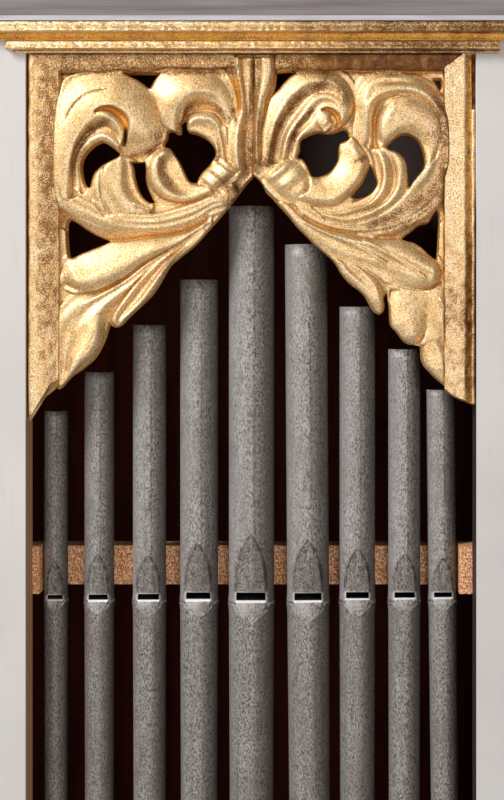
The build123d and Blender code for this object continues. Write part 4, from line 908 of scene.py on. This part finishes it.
right_leaves = {
    "ceiling": ([(404, 69, 404, 72), (418, 69, 418, 75), (430, 69, 430, 79), (437, 69, 437, 86),
                 (444, 69, 444, 96)],
                [(0, [-2, -2.5, -2]), (4, [-2, -2.5, -2])]),
    "under_band": ([(446, 185, 446, 200), (443, 196, 441, 212), (436, 207, 434, 220), (424, 217, 424, 228),
                    (408, 225, 408, 234), (392, 231, 394, 240), (376, 235, 378, 241)],
                   [(0, [1, -3, -5]), (6, [2, -1, -2])]),
    "skirt": ([(442, 285, 388, 285), (447, 300, 387, 305), (452, 320, 392, 326), (456, 340, 410, 345),
               (462, 360, 424, 365), (468, 380, 443, 385), (474, 400, 465, 400)],
              [(0, [2, 3, 2, 2.5, 2, 2.5, 1]), (2, [4, 4.5, 2.5, 2, 3, 3.5, 1.5]),
               (4, [3, 4, 2, 3, 3.5, 3, 1]), (6, [2, 3, 3, 3, 3, 3, 1])]),
    "tail_lobe": ([(462, 372, 440, 378), (466, 384, 447, 386), (472, 392, 454, 394), (474, 401, 462, 398)],
                  [(0, [1, 2, 2, 2, 1]), (1, [2, 4, 4, 3, 1]), (2, [2, 4.5, 4.5, 3, 1]),
                   (3, [0, 1, 1, 1, 0])]),
    "third_lobe": ([(440, 338, 421, 346), (448, 353, 421.5, 358), (452, 368, 426, 369),
                    (452, 382, 435, 379), (447, 388, 443, 385)],
                   [(0, [1, 3, 3, 2, 0]), (2, [1.5, 4.5, 5, 4.5, 1]), (4, [-1, 0, 0, 0, -1])]),
    "second_lobe": ([(424, 288, 390, 290), (428, 303, 388.5, 308), (428, 318, 391, 326),
                     (426, 333, 399, 338), (418, 345, 409, 345)],
                    [(0, [1.5, 2, 2.5, 2, -1]), (2, [1, 3.5, 5, 4.5, 1]), (3, [0.5, 3.5, 5, 4, 1]),
                     (4, [-1, 0, 0, 0, -1])]),
    "first_lobe": ([(330, 245, 313, 243), (350, 256, 330, 258), (368, 270, 342, 275), (380, 282, 357, 289),
                    (385, 295, 368, 303), (385, 307, 374, 311), (381, 314, 379, 315)],
                   [(0, [2, 3, 2.5, 2, 0.5]), (2, [1.5, 3, 2, 3.5, 1.5]), (4, [-1, 3.5, 4.5, 3.5, 1]),
                    (6, [-1, 0, 0, 0, -1])]),
    "low_leaf": ([(290, 205, 280, 207), (305, 220, 297, 227), (325, 228, 313, 243), (345, 233, 330, 256),
                  (360, 237, 348, 263), (380, 239.5, 365, 269), (400, 240, 385, 279), (413, 245, 403, 287),
                  (425, 254, 420, 290), (436, 262, 431, 289), (442, 273, 440, 283)],
                 [(0, [1, 2, 2, 2, 2, 1, 0]), (2, [1, 4.5, 3, 3.5, 3, 2, 1]),
                  (4, [1, 5, 3.5, 3, 3.5, 2.5, 2]), (6, [1, 4.5, 5.5, 4, 4.5, 3, 2.5]),
                  (8, [2, 5, 6.5, 5.5, 6, 4.5, 1]), (9, [1.5, 5.5, 7, 6.5, 6, 4, -1]),
                  (10, [-1, 1, 1, 1, 1, 1, -2])]),
    "outer_flute": ([(453, 118, 436, 130), (454, 135, 434, 145), (454, 150, 433, 158),
                     (451, 168, 429, 170), (446, 184, 421, 181), (436, 199, 412, 190),
                     (424, 212, 402, 200), (408, 222, 390, 210), (390, 229, 372, 218),
                     (368, 232, 352, 222), (345, 231, 332, 220), (325, 227, 315, 212),
                     (305, 217, 298, 203)],
                    [(0, [4, 4, 4, 4, 4]), (2, [4, 4, 3.4, 3.8, 5.5]), (3, [4, 4, 3, 3.2, 5.2]),
                     (4, [2.5, 2.6, 2, 2.5, 5]), (6, [0.5, 1.5, 1, 1.5, 2]), (8, [1, 2, 1, 2, 3]),
                     (10, [1, 3, 2, 3, 4]), (12, [1, 2, 2, 2, 2])]),
    "middle_leaf": ([(374, 149, 396, 150), (377, 158, 404, 158), (380, 170, 408, 168),
                     (380, 182, 408, 180), (376, 193, 406, 191), (366, 203, 396, 204),
                     (350, 208, 378, 216), (330, 212, 355, 223), (314, 206, 325, 220)],
                    [(0, [1, 2, 2.5, 3, 3, 2.5, 1]), (1, [1, 4.5, 4, 2.5, 3.5, 4, 2]),
                     (2, [1.5, 5.5, 3, 1, 4.5, 4, 1.5]), (3, [2, 5.5, 3, 1, 4.5, 3.5, 1]),
                     (5, [2, 5, 2.5, 1, 4, 2.5, 1]), (7, [2, 4, 2.5, 2, 3, 2, 1]),
                     (8, [1, 2, 2, 2, 2, 1, 1])]),
    "bright_lobe": ([(346, 141, 358, 143), (341, 146, 367, 156), (338, 155, 369, 167),
                     (335, 165, 363, 182), (329, 173, 350, 196), (319, 177, 335, 206),
                     (308, 178, 315, 205), (298, 180, 296, 200)],
                    [(0, [3, 4, 4, 4, 3.5, 1]), (1, [2, 4, 5.5, 6.5, 5, 2]),
                     (2, [1.5, 3.5, 5.5, 7, 7.4, 3]), (3, [1.5, 3.8, 5.8, 7.2, 7.4, 1]),
                     (5, [1.5, 3.6, 5.2, 6.4, 6.8, 2]), (7, [3, 4.5, 5, 5, 4, 2])]),
    "top_lobe": ([(357, 140, 370, 144), (357, 125, 371, 130), (357, 110, 371, 118), (357, 98, 373, 108),
                  (361, 87, 378, 100), (370, 78, 386, 96), (384, 74, 398, 94), (400, 74, 410, 94),
                  (415, 76, 421, 97), (428, 83, 430, 104), (438, 93, 436, 112), (448, 104, 441, 121),
                  (453, 120, 443, 132)],
                 [(0, [1, 1, 1.5, 1, 0, -1]), (2, [1, 2.6, 4, 5, 4.6, 2]),
                  (3, [0.5, 2.6, 4.6, 6.2, 6.4, 3]), (4, [0.5, 2.8, 4.8, 4.4, 6.4, 3]),
                  (6, [0.5, 3, 2.2, 5, 5, 2]), (8, [0, 1.5, 3, 4.5, 4.5, 2]),
                  (10, [-1, 0.5, 3, 4.5, 4.5, 3]), (11, [3.6, 4, 4, 4.5, 4.5, 3.5]),
                  (12, [4, 4, 4, 4.5, 4.5, 4])]),
    "ring_hollow": ([(370, 147, 379, 147), (371, 130, 378, 132), (372, 116, 379, 120),
                     (375, 106, 384, 110), (380, 99, 392, 101), (390, 95, 404, 97), (404, 94, 417, 99)],
                    [(0, [1, -3, -3, 0]), (2, [1, -3, -3, 1]), (4, [3, 0.5, 1, 3]),
                     (6, [3.5, 2.5, 2.8, 4])]),
    "boss": ([(380, 142, 386, 145), (379, 132, 389, 141), (380, 120, 393, 138), (385, 110, 398, 135),
              (393, 101, 403, 133), (405, 97, 408, 132.5), (418, 99, 413, 134), (430, 106, 418, 138),
              (438, 117, 422, 143), (442, 130, 425, 150), (440, 145, 427, 158), (436, 158, 427, 166)],
             [(0, [-1, 0, 1, 1, 0, 0]), (1, [1, 3, 4, 4, 3, 1]), (3, [3, 5.5, 6, 5.5, 5, 2]),
              (5, [3.5, 6, 6.5, 6, 5, 2]), (7, [4, 5.5, 6, 5.5, 4, 1.5]), (9, [4, 4.5, 4.5, 4.5, 4, 3]),
              (11, [2, 2.5, 3.5, 4.5, 5.5, 4])]),
    "fluted_curl": ([(259, 163, 298, 158), (259.5, 149, 300, 150), (262, 134, 303, 140),
                     (265, 120, 308, 135), (269, 107, 313, 132), (275, 95, 318, 129), (284, 84, 321, 124),
                     (296, 74, 324, 118), (311, 69.5, 326, 114), (328, 70, 329, 113),
                     (341, 76.5, 332, 114), (350, 87, 334, 117), (354.5, 101, 335, 120),
                     (353, 113, 334, 124), (347, 123, 331, 127), (338, 130, 327, 129)],
                    [(0, [1, 3, 3, 0, 0, 3, 0.5, 3, 1]), (2, [1, 3.5, 5.5, 0.8, 0.4, 5, 1, 4.5, 2]),
                     (5, [1, 3.8, 6.2, 1.4, 0.8, 5, 1.6, 4.5, 3]),
                     (8, [0.5, 3.2, 5.2, 3, 2, 4.5, 3, 5, 3]), (11, [0, 2.5, 4.5, 5.5, 6, 6.3, 6, 5, 1]),
                     (13, [-1, 1.5, 3.5, 5, 6, 6, 5, 2, 0]), (15, [-2, -1, -0.5, 0.5, 1, 1, 0, -1, -2])]),
    "eye_hollow": ([(321, 108.5, 322, 110.5), (328, 107, 327.5, 111), (335, 110, 332, 114),
                    (339.5, 115, 335, 118.5), (340.5, 121, 336, 123), (338, 128, 334, 127)],
                   [(0, [4, 2, 3]), (2, [5, -2.5, 1]), (4, [5.5, -2.5, 1]), (5, [2, -2, 0])]),
    "stem": ([(254, 58, 275, 58), (255, 70, 276, 72), (255, 85, 272, 88), (255, 100, 267, 102),
              (254, 115, 265, 114), (254, 130, 262, 130), (254, 145, 262, 148), (254, 160, 262, 162),
              (254, 172, 266, 178)],
             [(0, [2, 2, 5, 5.5, 5, 0]), (2, [0.5, 2.5, 5, 5.5, 4, 0]), (3, [1, 4, 5.5, 5, 3, -2]),
              (5, [1.5, 4.5, 5, 4, 2, 0]), (7, [1, 3, 4, 3.5, 2, 1]), (8, [0, 1, 1, 1, 1, 1])]),
    "binding": ([(263, 178, 286, 158), (268, 183, 294, 160), (273, 188, 301, 165), (279, 194, 307, 173),
                 (286, 199, 310, 181), (292, 203, 308, 190)],
                [(0, [0, 2, 2.5, 2, 1]), (0.8, [1, 5.5, 6.5, 5.5, 2]), (1.6, [1, 3.5, 4.5, 3.5, 1.5]),
                 (2.5, [1, 5.5, 6.5, 5.5, 2]), (3.4, [1, 3.5, 4, 3.5, 1.5]), (4.2, [1, 3.5, 4.5, 4, 1.5]),
                 (5, [1, 2.5, 3, 2.5, 1])]),
}
right_knobs = [((325.5, 121), (8.6, 9), 2.6, 4.2)]
right_lines = [
    ([(290, 205), (310, 221), (330, 228.5), (352, 232), (375, 235), (395, 236)], 1.2, -1.5),
    ([(305, 223), (325, 233), (345, 241), (365, 250), (385, 262)], 1.6, 1.2),
    ([(365, 240), (385, 252), (405, 264), (425, 277)], 1.8, 1.0),
    ([(441, 300), (448, 315), (455, 332)], 2.0, 1.5),
    ([(440, 190), (430, 203), (415, 214), (395, 222), (370, 227)], 1.2, -0.8),
]
right_border = [(254, 57), (254, 80), (253, 174), (257, 178), (262, 184), (266, 192), (272, 198),
                (280, 207), (288, 216), (297, 227), (305, 235), (313, 243), (322, 251), (330, 258),
                (336, 265), (342, 275), (350, 284), (358, 290), (365, 297), (370, 306), (374, 312),
                (379, 315), (383, 312), (384.5, 306), (384, 298), (386.5, 292), (389, 308), (389.5, 318),
                (391, 326), (397, 333), (402, 340), (407, 344), (413, 345), (420, 346), (421, 352),
                (421.5, 359), (424, 366), (430, 373), (436, 379), (443, 385), (444.8, 386.5), (444.8, 188),
                (447, 177), (449.5, 161), (450, 143), (449.3, 125), (447, 112), (444.8, 104), (444.8, 57)]
right_holes = [
    [(277, 70), (291, 70.5), (296, 73), (290, 77), (284, 83), (280, 88), (275, 93), (271, 97), (275, 88),
     (276, 80)],
    [(301, 140), (305, 137), (311, 134), (318, 132), (325, 133), (333, 132.5), (338, 131), (343, 129),
     (347, 131), (349, 135), (350, 138), (346, 141), (340, 144), (338.5, 150), (338.5, 156), (337, 162),
     (334, 167), (330, 172), (325, 175), (318, 177), (312, 176), (309, 170), (306, 164), (303, 160),
     (297, 157), (300, 150), (300, 145)],
    [(386, 147), (391, 142), (397, 137), (402, 134.5), (408, 134), (414, 137), (419, 141), (422, 147),
     (424, 153), (425, 158), (425, 165), (422, 171), (419, 174), (414, 181), (410, 187), (408, 187),
     (408, 178), (407, 168), (405, 160), (400, 154), (395, 151), (390, 150)],
    [(370, 165), (373, 170), (376, 178), (377, 184), (374, 190), (369, 195), (362, 198), (356, 199),
     (352, 197), (356, 191), (361, 185), (365, 178), (368, 171)],
    [(401, 239), (410, 233), (420, 225), (428, 223), (433, 215), (437, 209), (439, 215), (439, 230),
     (438, 250), (437, 260), (434, 259), (428, 254), (422, 248), (414, 243), (406, 241)],
    [(433, 79), (441, 79), (442, 85), (440, 91), (436, 85)],
]
# The same darkened lines on the right shade: dust and painted shade.
right_dust_and_shade = [
    ([(257, 64), (258, 90), (258, 120), (257, 150), (257, 172)], 3.5, -0.6),
    ([(268, 163), (275, 135), (289, 110), (305, 94), (322, 88)], 5.0, -0.8),
    ([(290, 150), (299, 125), (311, 111)], 3.2, -0.75),
    ([(325, 80), (340, 90), (346, 104)], 6.0, -0.4),
    ([(438, 98), (445, 125), (446, 150), (440, 178), (425, 198), (400, 214), (375, 224)], 7.0, -0.6),
    ([(355, 161), (364, 158)], 2.5, -0.8),
    ([(447, 172), (443, 190), (436, 203), (424, 214), (405, 225), (385, 230)], 4.0, -0.5),
    ([(395, 112), (410, 108), (425, 118), (432, 135)], 9.0, -0.2),
]

for side, leaves, knobs, lines, border, holes, dust_and_shade_lines in (
        ("left", left_leaves, left_knobs, left_lines, left_border, left_holes, left_dust_and_shade),
        ("right", right_leaves, right_knobs, right_lines, right_border, right_holes, right_dust_and_shade)):
    relief = relief_map(leaves, knobs, lines)
    shade = relief_board(side + "_pipe_shade_carving", gold_leaf, relief, border, holes, dust_and_shade_lines)
    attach(shade, "root")
    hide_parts(side + "_pipe_shade")

# The gilded cornice: straight runs of moulding, planed and then gilded, mitred at the corners and nailed
# to the front. Each is a closed profile carried along its run; a profile's points are millimetres before
# the front face and rows of the photograph.
torus_profile = [(0.0, 33.2), (0.0, 19.9), (7.0, 19.8), (10.0, 20.4), (11.2, 21.6), (11.7, 23.2),
                 (11.7, 24.8), (11.4, 26.0), (11.9, 27.2), (12.6, 28.8), (12.9, 30.0), (12.5, 31.0),
                 (11.0, 31.8), (8.8, 32.2), (7.0, 33.0), (4.6, 33.3)]
fascia_profile = [(0.0, 40.3), (0.0, 33.1), (4.4, 33.1), (4.1, 34.2), (3.8, 36.4), (4.0, 38.4),
                  (4.6, 39.4), (4.8, 40.2)]
band_profile = [(0.0, 53.3), (0.0, 40.5), (6.6, 40.6), (7.6, 41.3), (8.0, 42.6), (8.3, 44.2), (8.9, 45.6),
                (9.4, 46.9), (9.2, 48.1), (7.8, 49.1), (5.2, 49.6), (3.2, 49.9), (2.4, 50.3), (3.1, 50.7),
                (3.3, 51.6), (3.0, 52.6), (2.2, 53.2)]
band_half_length = 168.0
band_right_mitre = 11.2
longest_side = 1.2
run_step = 0.9


def refine(profile, longest):
    """Closed profile with points added on its sides so that none is longer than a length."""
    profile = np.asarray(profile, float)
    ends = np.roll(profile, -1, axis=0)
    counts = np.ceil(np.hypot(*(ends - profile).T) / longest).astype(int).clip(1)
    start = np.repeat(np.arange(len(profile)), counts)
    share = np.concatenate([np.arange(count) / count for count in counts])[:, None]
    return profile[start] * (1 - share) + ends[start] * share


def closed_run(name, points, material, hollow, tone):
    """Ring grid closed by rows that collapse to the middle of each end."""
    first, last = points[:1].mean(axis=1, keepdims=True), points[-1:].mean(axis=1, keepdims=True)
    caps = [np.repeat(first, points.shape[1], axis=1), points, np.repeat(last, points.shape[1], axis=1)]
    piece = surface(name, np.concatenate(caps), material)
    piece.data.set_sharp_from_angle(angle=math.radians(40))
    for mark, values in (("hollow", hollow), ("tone", tone)):
        mark_points(piece, mark, np.concatenate([values[:1], values, values[-1:]]))
    return piece


def front_run(profile, lefts, rights):
    """Grid along the front: each profile point (outward, photo row) from its left end to its right end."""
    count = int((rights.max() - lefts.min()) / run_step)
    share = np.linspace(0, 1, count)[:, None]
    x = lefts * (1 - share) + rights * share
    outward = np.broadcast_to(profile[:, 0], x.shape)
    height = top_height - pixel * np.broadcast_to(profile[:, 1], x.shape)
    return x, outward, height


# The crown: a hollow moulding planed from softwood, painted, and nailed on above the gilded cornice. Above
# its fillet it is coloured dark grey, painted shade under the cove's lip; the fillet below is paler.
half_width = 216.0
fillet_level, crown_level, cove_level, crown_top = 724.7, 728.1, 745.2, 772.0
cove_radius, cove_reach = 16.0, 19.0
cove_turn = np.radians(np.linspace(90, 0, 13))
crown_profile = np.concatenate([
    [(3.0, crown_level), (12.0, crown_level), (12.0, fillet_level), (0.0, fillet_level), (0.0, crown_top),
     (22.0, crown_top), (22.0, 763.0), (cove_reach, 763.0)],
    np.stack([cove_reach - cove_radius * np.cos(cove_turn), cove_level + cove_radius * np.sin(cove_turn)],
             axis=-1)])
x = np.linspace(-half_width, half_width, 60)[:, None] * np.ones(len(crown_profile))
crown_grid = np.stack([x, front_face / mm - crown_profile[:, 0] + 0 * x, crown_profile[:, 1] + 0 * x],
                      axis=-1)
crown_paint, crown_tree, crown_shader = shader("crown_paint", roughness=0.55)
level = add_node(crown_tree, "ShaderNodeSeparateXYZ",
                 {0: add_node(crown_tree, "ShaderNodeTexCoord").outputs["Object"]}).outputs["Z"]
# Dark grey above the fillet: painted shade under the cove's lip.
cove_painted_shade = ramp(crown_tree, noise(crown_tree, place_on(crown_tree, (9, 9, 240)), 1.0, 4.0),
            (0.3, (0.155, 0.127, 0.125)), (0.7, (0.265, 0.235, 0.23)))
fillet_color = ramp(crown_tree, noise(crown_tree, place_on(crown_tree, (20, 20, 300)), 1.0, 4.0),
             (0.3, (0.40, 0.39, 0.44)), (0.7, (0.575, 0.565, 0.615)))
in_cove_shade = math_node(crown_tree, "GREATER_THAN", level, crown_level * mm + 0.0001)
crown_tree.links.new(mix(crown_tree, in_cove_shade, fillet_color, cove_painted_shade), crown_shader.inputs["Base Color"])
crown = closed_run("crown_moulding_paint", crown_grid, crown_paint, 0 * x, 0 * x)
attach(crown, "root")
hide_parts("crown_moulding")

# The gilded torus and the fascia under it run the whole width of the case; the band below them ends
# beside the opening. Their faces are a little uneven, from the white ground under the leaf.
# Tones pale the left end of the torus, a painted highlight, and darken its right part, painted shade. The
# fascia's low hollow colours it saturated orange: painted reflected light in the torus's shade.
for part, profile, beat, tones in (("torus", torus_profile, 1.0, [0.7, 0.5, -0.25, -0.6, -0.65]),
                                   ("fascia", fascia_profile, 0.5, [0.0, 0.0, 0.0, 0.0, 0.0])):
    profile = refine(profile, longest_side)
    ends = np.full(len(profile), half_width)
    x, outward, height = front_run(profile, -ends, ends)
    raised = (outward > 1) * beat
    outward = outward + raised * (0.35 * ripples(x, height, 2.6, 3)
                                  + 0.45 * ripples(x, height * 0.5, 9.0, 4))
    height = height + raised * 0.35 * ripples(x, outward, 5.0, 5)
    grid = traced(x, outward, height)
    columns = x / pixel + middle_column
    tone = np.interp(columns, [0, 150, 300, 400, 500], tones) + 0.25 * ripples(x, outward, 7.0, 15)
    hollow = 0.3 * ripples(x, height, 6.0, 6) - 2.0 * (part == "fascia")
    piece = closed_run("cornice_moulding_" + part, grid, gold_leaf, hollow, tone)
    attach(piece, "root")
    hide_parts("cornice_moulding")

profile = refine(band_profile, longest_side)
reach = band_half_length + profile[:, 0]
right_reach = np.full(len(profile), band_half_length + band_right_mitre)
x, outward, height = front_run(profile, -reach, right_reach)
outward = outward + (outward > 1) * (0.3 * ripples(x, height, 2.4, 7)
                                     + 0.35 * ripples(x, height * 0.5, 8.0, 8))
grid = traced(x, outward, height)
walls = [traced(end, 0 * end, height[0])[None] for end in (-reach, right_reach)]
grid = np.concatenate([walls[0], grid, walls[1]])
columns = grid[..., 0] / pixel + middle_column
# Tone pales the band's left end, a painted highlight, and darkens its right part, painted shade.
tone = np.interp(columns, [0, 200, 330, 420, 500], [0.5, 0.4, -0.2, -0.65, -0.35])
hollow = 0.3 * ripples(grid[..., 0], grid[..., 2], 6.0, 6)
piece = closed_run("cornice_moulding_band", grid, gold_leaf, hollow, tone)
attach(piece, "root")
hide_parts("cornice_moulding")

# The frieze: a gilded softwood strip that closes the opening above the shades. Its lower edge hangs
# unevenly, and it is cut back behind the stem where the two shades meet.
frieze_profile = [(-11.0, 69.5), (-11.0, 53.0), (-0.6, 53.1), (0.6, 53.6), (1.3, 55.0), (0.9, 56.6),
                  (1.0, 60.0), (1.1, 64.0), (0.9, 67.0), (0.3, 69.0), (-0.8, 69.8), (-4.0, 71.5),
                  (-8.0, 73.5), (-11.0, 74.0)]
frieze_left, frieze_right = -160.2, 153.6
left_mitre, right_mitre = 1.84, 1.35
opening_top = 53.5
fringe_top, fringe_low = 66, 70
gap_middle, gap_reach, gap_depth = 255, 20.5, 3.4
profile = refine(frieze_profile, longest_side)
inset = (profile[:, 1] - opening_top).clip(0) * pixel
x, outward, height = front_run(profile, frieze_left + left_mitre * inset, frieze_right - right_mitre * inset)
columns = x / pixel + middle_column
fringe = np.interp(height, [top_height - pixel * fringe_low, top_height - pixel * fringe_top], [1, 0])
sag = np.interp(columns, [60, 110, 150, 230, 300, 445], [1.0, 1.2, -1.4, -1.6, 0.4, 1.0])
height = height - fringe * (0.9 * ripples(x, 0 * x, 14.0, 9) + sag)
face = outward > -0.5
outward = outward - face * gap_depth * np.clip((gap_reach - np.abs(columns - gap_middle)) / 2, 0, 1)
outward = outward + face * (0.3 * ripples(x, height, 2.4, 10) + 0.25 * ripples(x, height, 7.0, 11))
grid = traced(x, outward, height)
# Tone darkens the frieze toward the right: painted shade under the band. The wall under its lower edge has a
# low hollow, saturated orange: painted reflected light.
tone = np.interp(columns, [40, 200, 270, 330, 470], [-0.45, -0.45, -0.6, -0.95, -1.0])
under = (outward < -0.6) & (np.abs(columns - gap_middle) > gap_reach + 1.5)
tone = np.where(under, -0.1, tone + 0.2 * ripples(x, height, 5.0, 16))
hollow = 0.3 * ripples(x, height, 6.0, 6) - 0.3 - 1.7 * under
piece = closed_run("frieze_strip_leaf", grid, gold_leaf, hollow, tone)
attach(piece, "root")
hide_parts("frieze_strip")

# The two side strips: their profiles' points are columns of the photograph and millimetres behind the
# front face. Each is mitred to the frieze at its top and sawn on a slope at its foot.
left_strip_profile = [(28.5, 11.0), (28.5, 0.8), (29.0, -0.4), (30.4, -1.3), (32.0, -1.6), (34.0, -1.5),
                      (36.0, -1.2), (38.0, -1.1), (40.0, -1.1), (48.0, -1.1), (56.0, -1.3), (58.0, -0.9),
                      (59.0, 0.2), (61.5, 4.5), (64.0, 9.0), (64.0, 11.0)]
right_strip_profile = [(444.5, 11.0), (444.5, -0.4), (445.4, -1.1), (448.0, -1.2), (458.0, -1.0),
                       (464.0, -1.2), (465.5, -0.9), (468.0, 0.8), (470.4, 2.4), (471.0, 2.2),
                       (471.8, 1.2), (473.5, 0.7), (475.0, 1.3), (475.6, 2.6), (475.6, 11.0)]
left_foot = ([28.5, 30.0, 49.0, 58.6, 64.0], [413.0, 416.0, 385.5, 378.6, 377.0])
right_foot = ([444.5, 451.0, 458.0, 463.0, 470.0, 475.6], [388.0, 393.5, 397.5, 399.5, 402.5, 404.0])
strip_rows, strip_depth = 300, 12
bead_left, bead_right, bead_top = 471.6, 475.5, 109
for side, profile, foot, drop, corner, mitre, tones in (
        ("left", left_strip_profile, left_foot, 6.0, 28.5, 0.54, [-0.2, -0.15, -0.1, 0.25]),
        ("right", right_strip_profile, right_foot, 2.0, 463.5, -0.74, [0.2, 0.15, -0.5, -0.2])):
    profile = refine(profile, longest_side)
    columns, depth = profile.T
    low = top_height - pixel * (np.interp(columns, *foot) + drop * (depth + 1).clip(0) / strip_depth)
    high = top_height - pixel * (opening_top + (mitre * (columns - corner)).clip(0))
    share = np.linspace(0, 1, strip_rows)[:, None]
    height = low * (1 - share) + high * share
    x = np.broadcast_to((columns - middle_column) * pixel, height.shape)
    rows = (top_height - height) / pixel
    no_bead = (columns > bead_left) & (columns < bead_right) & (rows < bead_top)
    depth = depth + 4.0 * no_bead
    face = depth < 0.3
    depth = depth - face * (0.10 * ripples(x, height, 2.0, 12) + 0.22 * ripples(x * 1.5, height, 8.0, 13))
    x = x + 0.25 * ripples(0 * height, height, 9.0, 14)
    grid = traced(x, -depth, height)
    # Tones by row and by column are painted light and shade: paler and darker bands down each strip, a paler
    # bead at the left and a darker band inside it. Where the right bead is missing, the low tone is painted
    # shadow in the gap by the stile. The inner walls' low hollow colours them orange: painted reflected
    # light.
    tone = np.interp(rows, [60, 200, 300, 400], tones) + 0.32 * ripples(x * 1.5, height, 4.0, 17)
    tone = tone + np.interp(columns, [28, 35.5, 37, 43, 48, 56, 59, 445, 465, 467, 471, 473],
                            [0.15, 0.15, -0.1, -0.3, -0.42, -0.42, 0.1, 0.2, 0.15, -0.4, -0.4, 0.1])
    tone = tone - 1.1 * no_bead
    wall = (np.abs(depth - 4) < 3.6) & (np.abs(columns - 56) < 10) | (np.abs(columns - 469) < 2.2)
    hollow = 0.3 * ripples(x, height, 6.0, 6) - 2.0 * wall
    piece = closed_run(side + "_frame_strip_leaf", grid, gold_leaf, hollow, tone)
    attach(piece, "root")
    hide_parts(side + "_frame_strip")
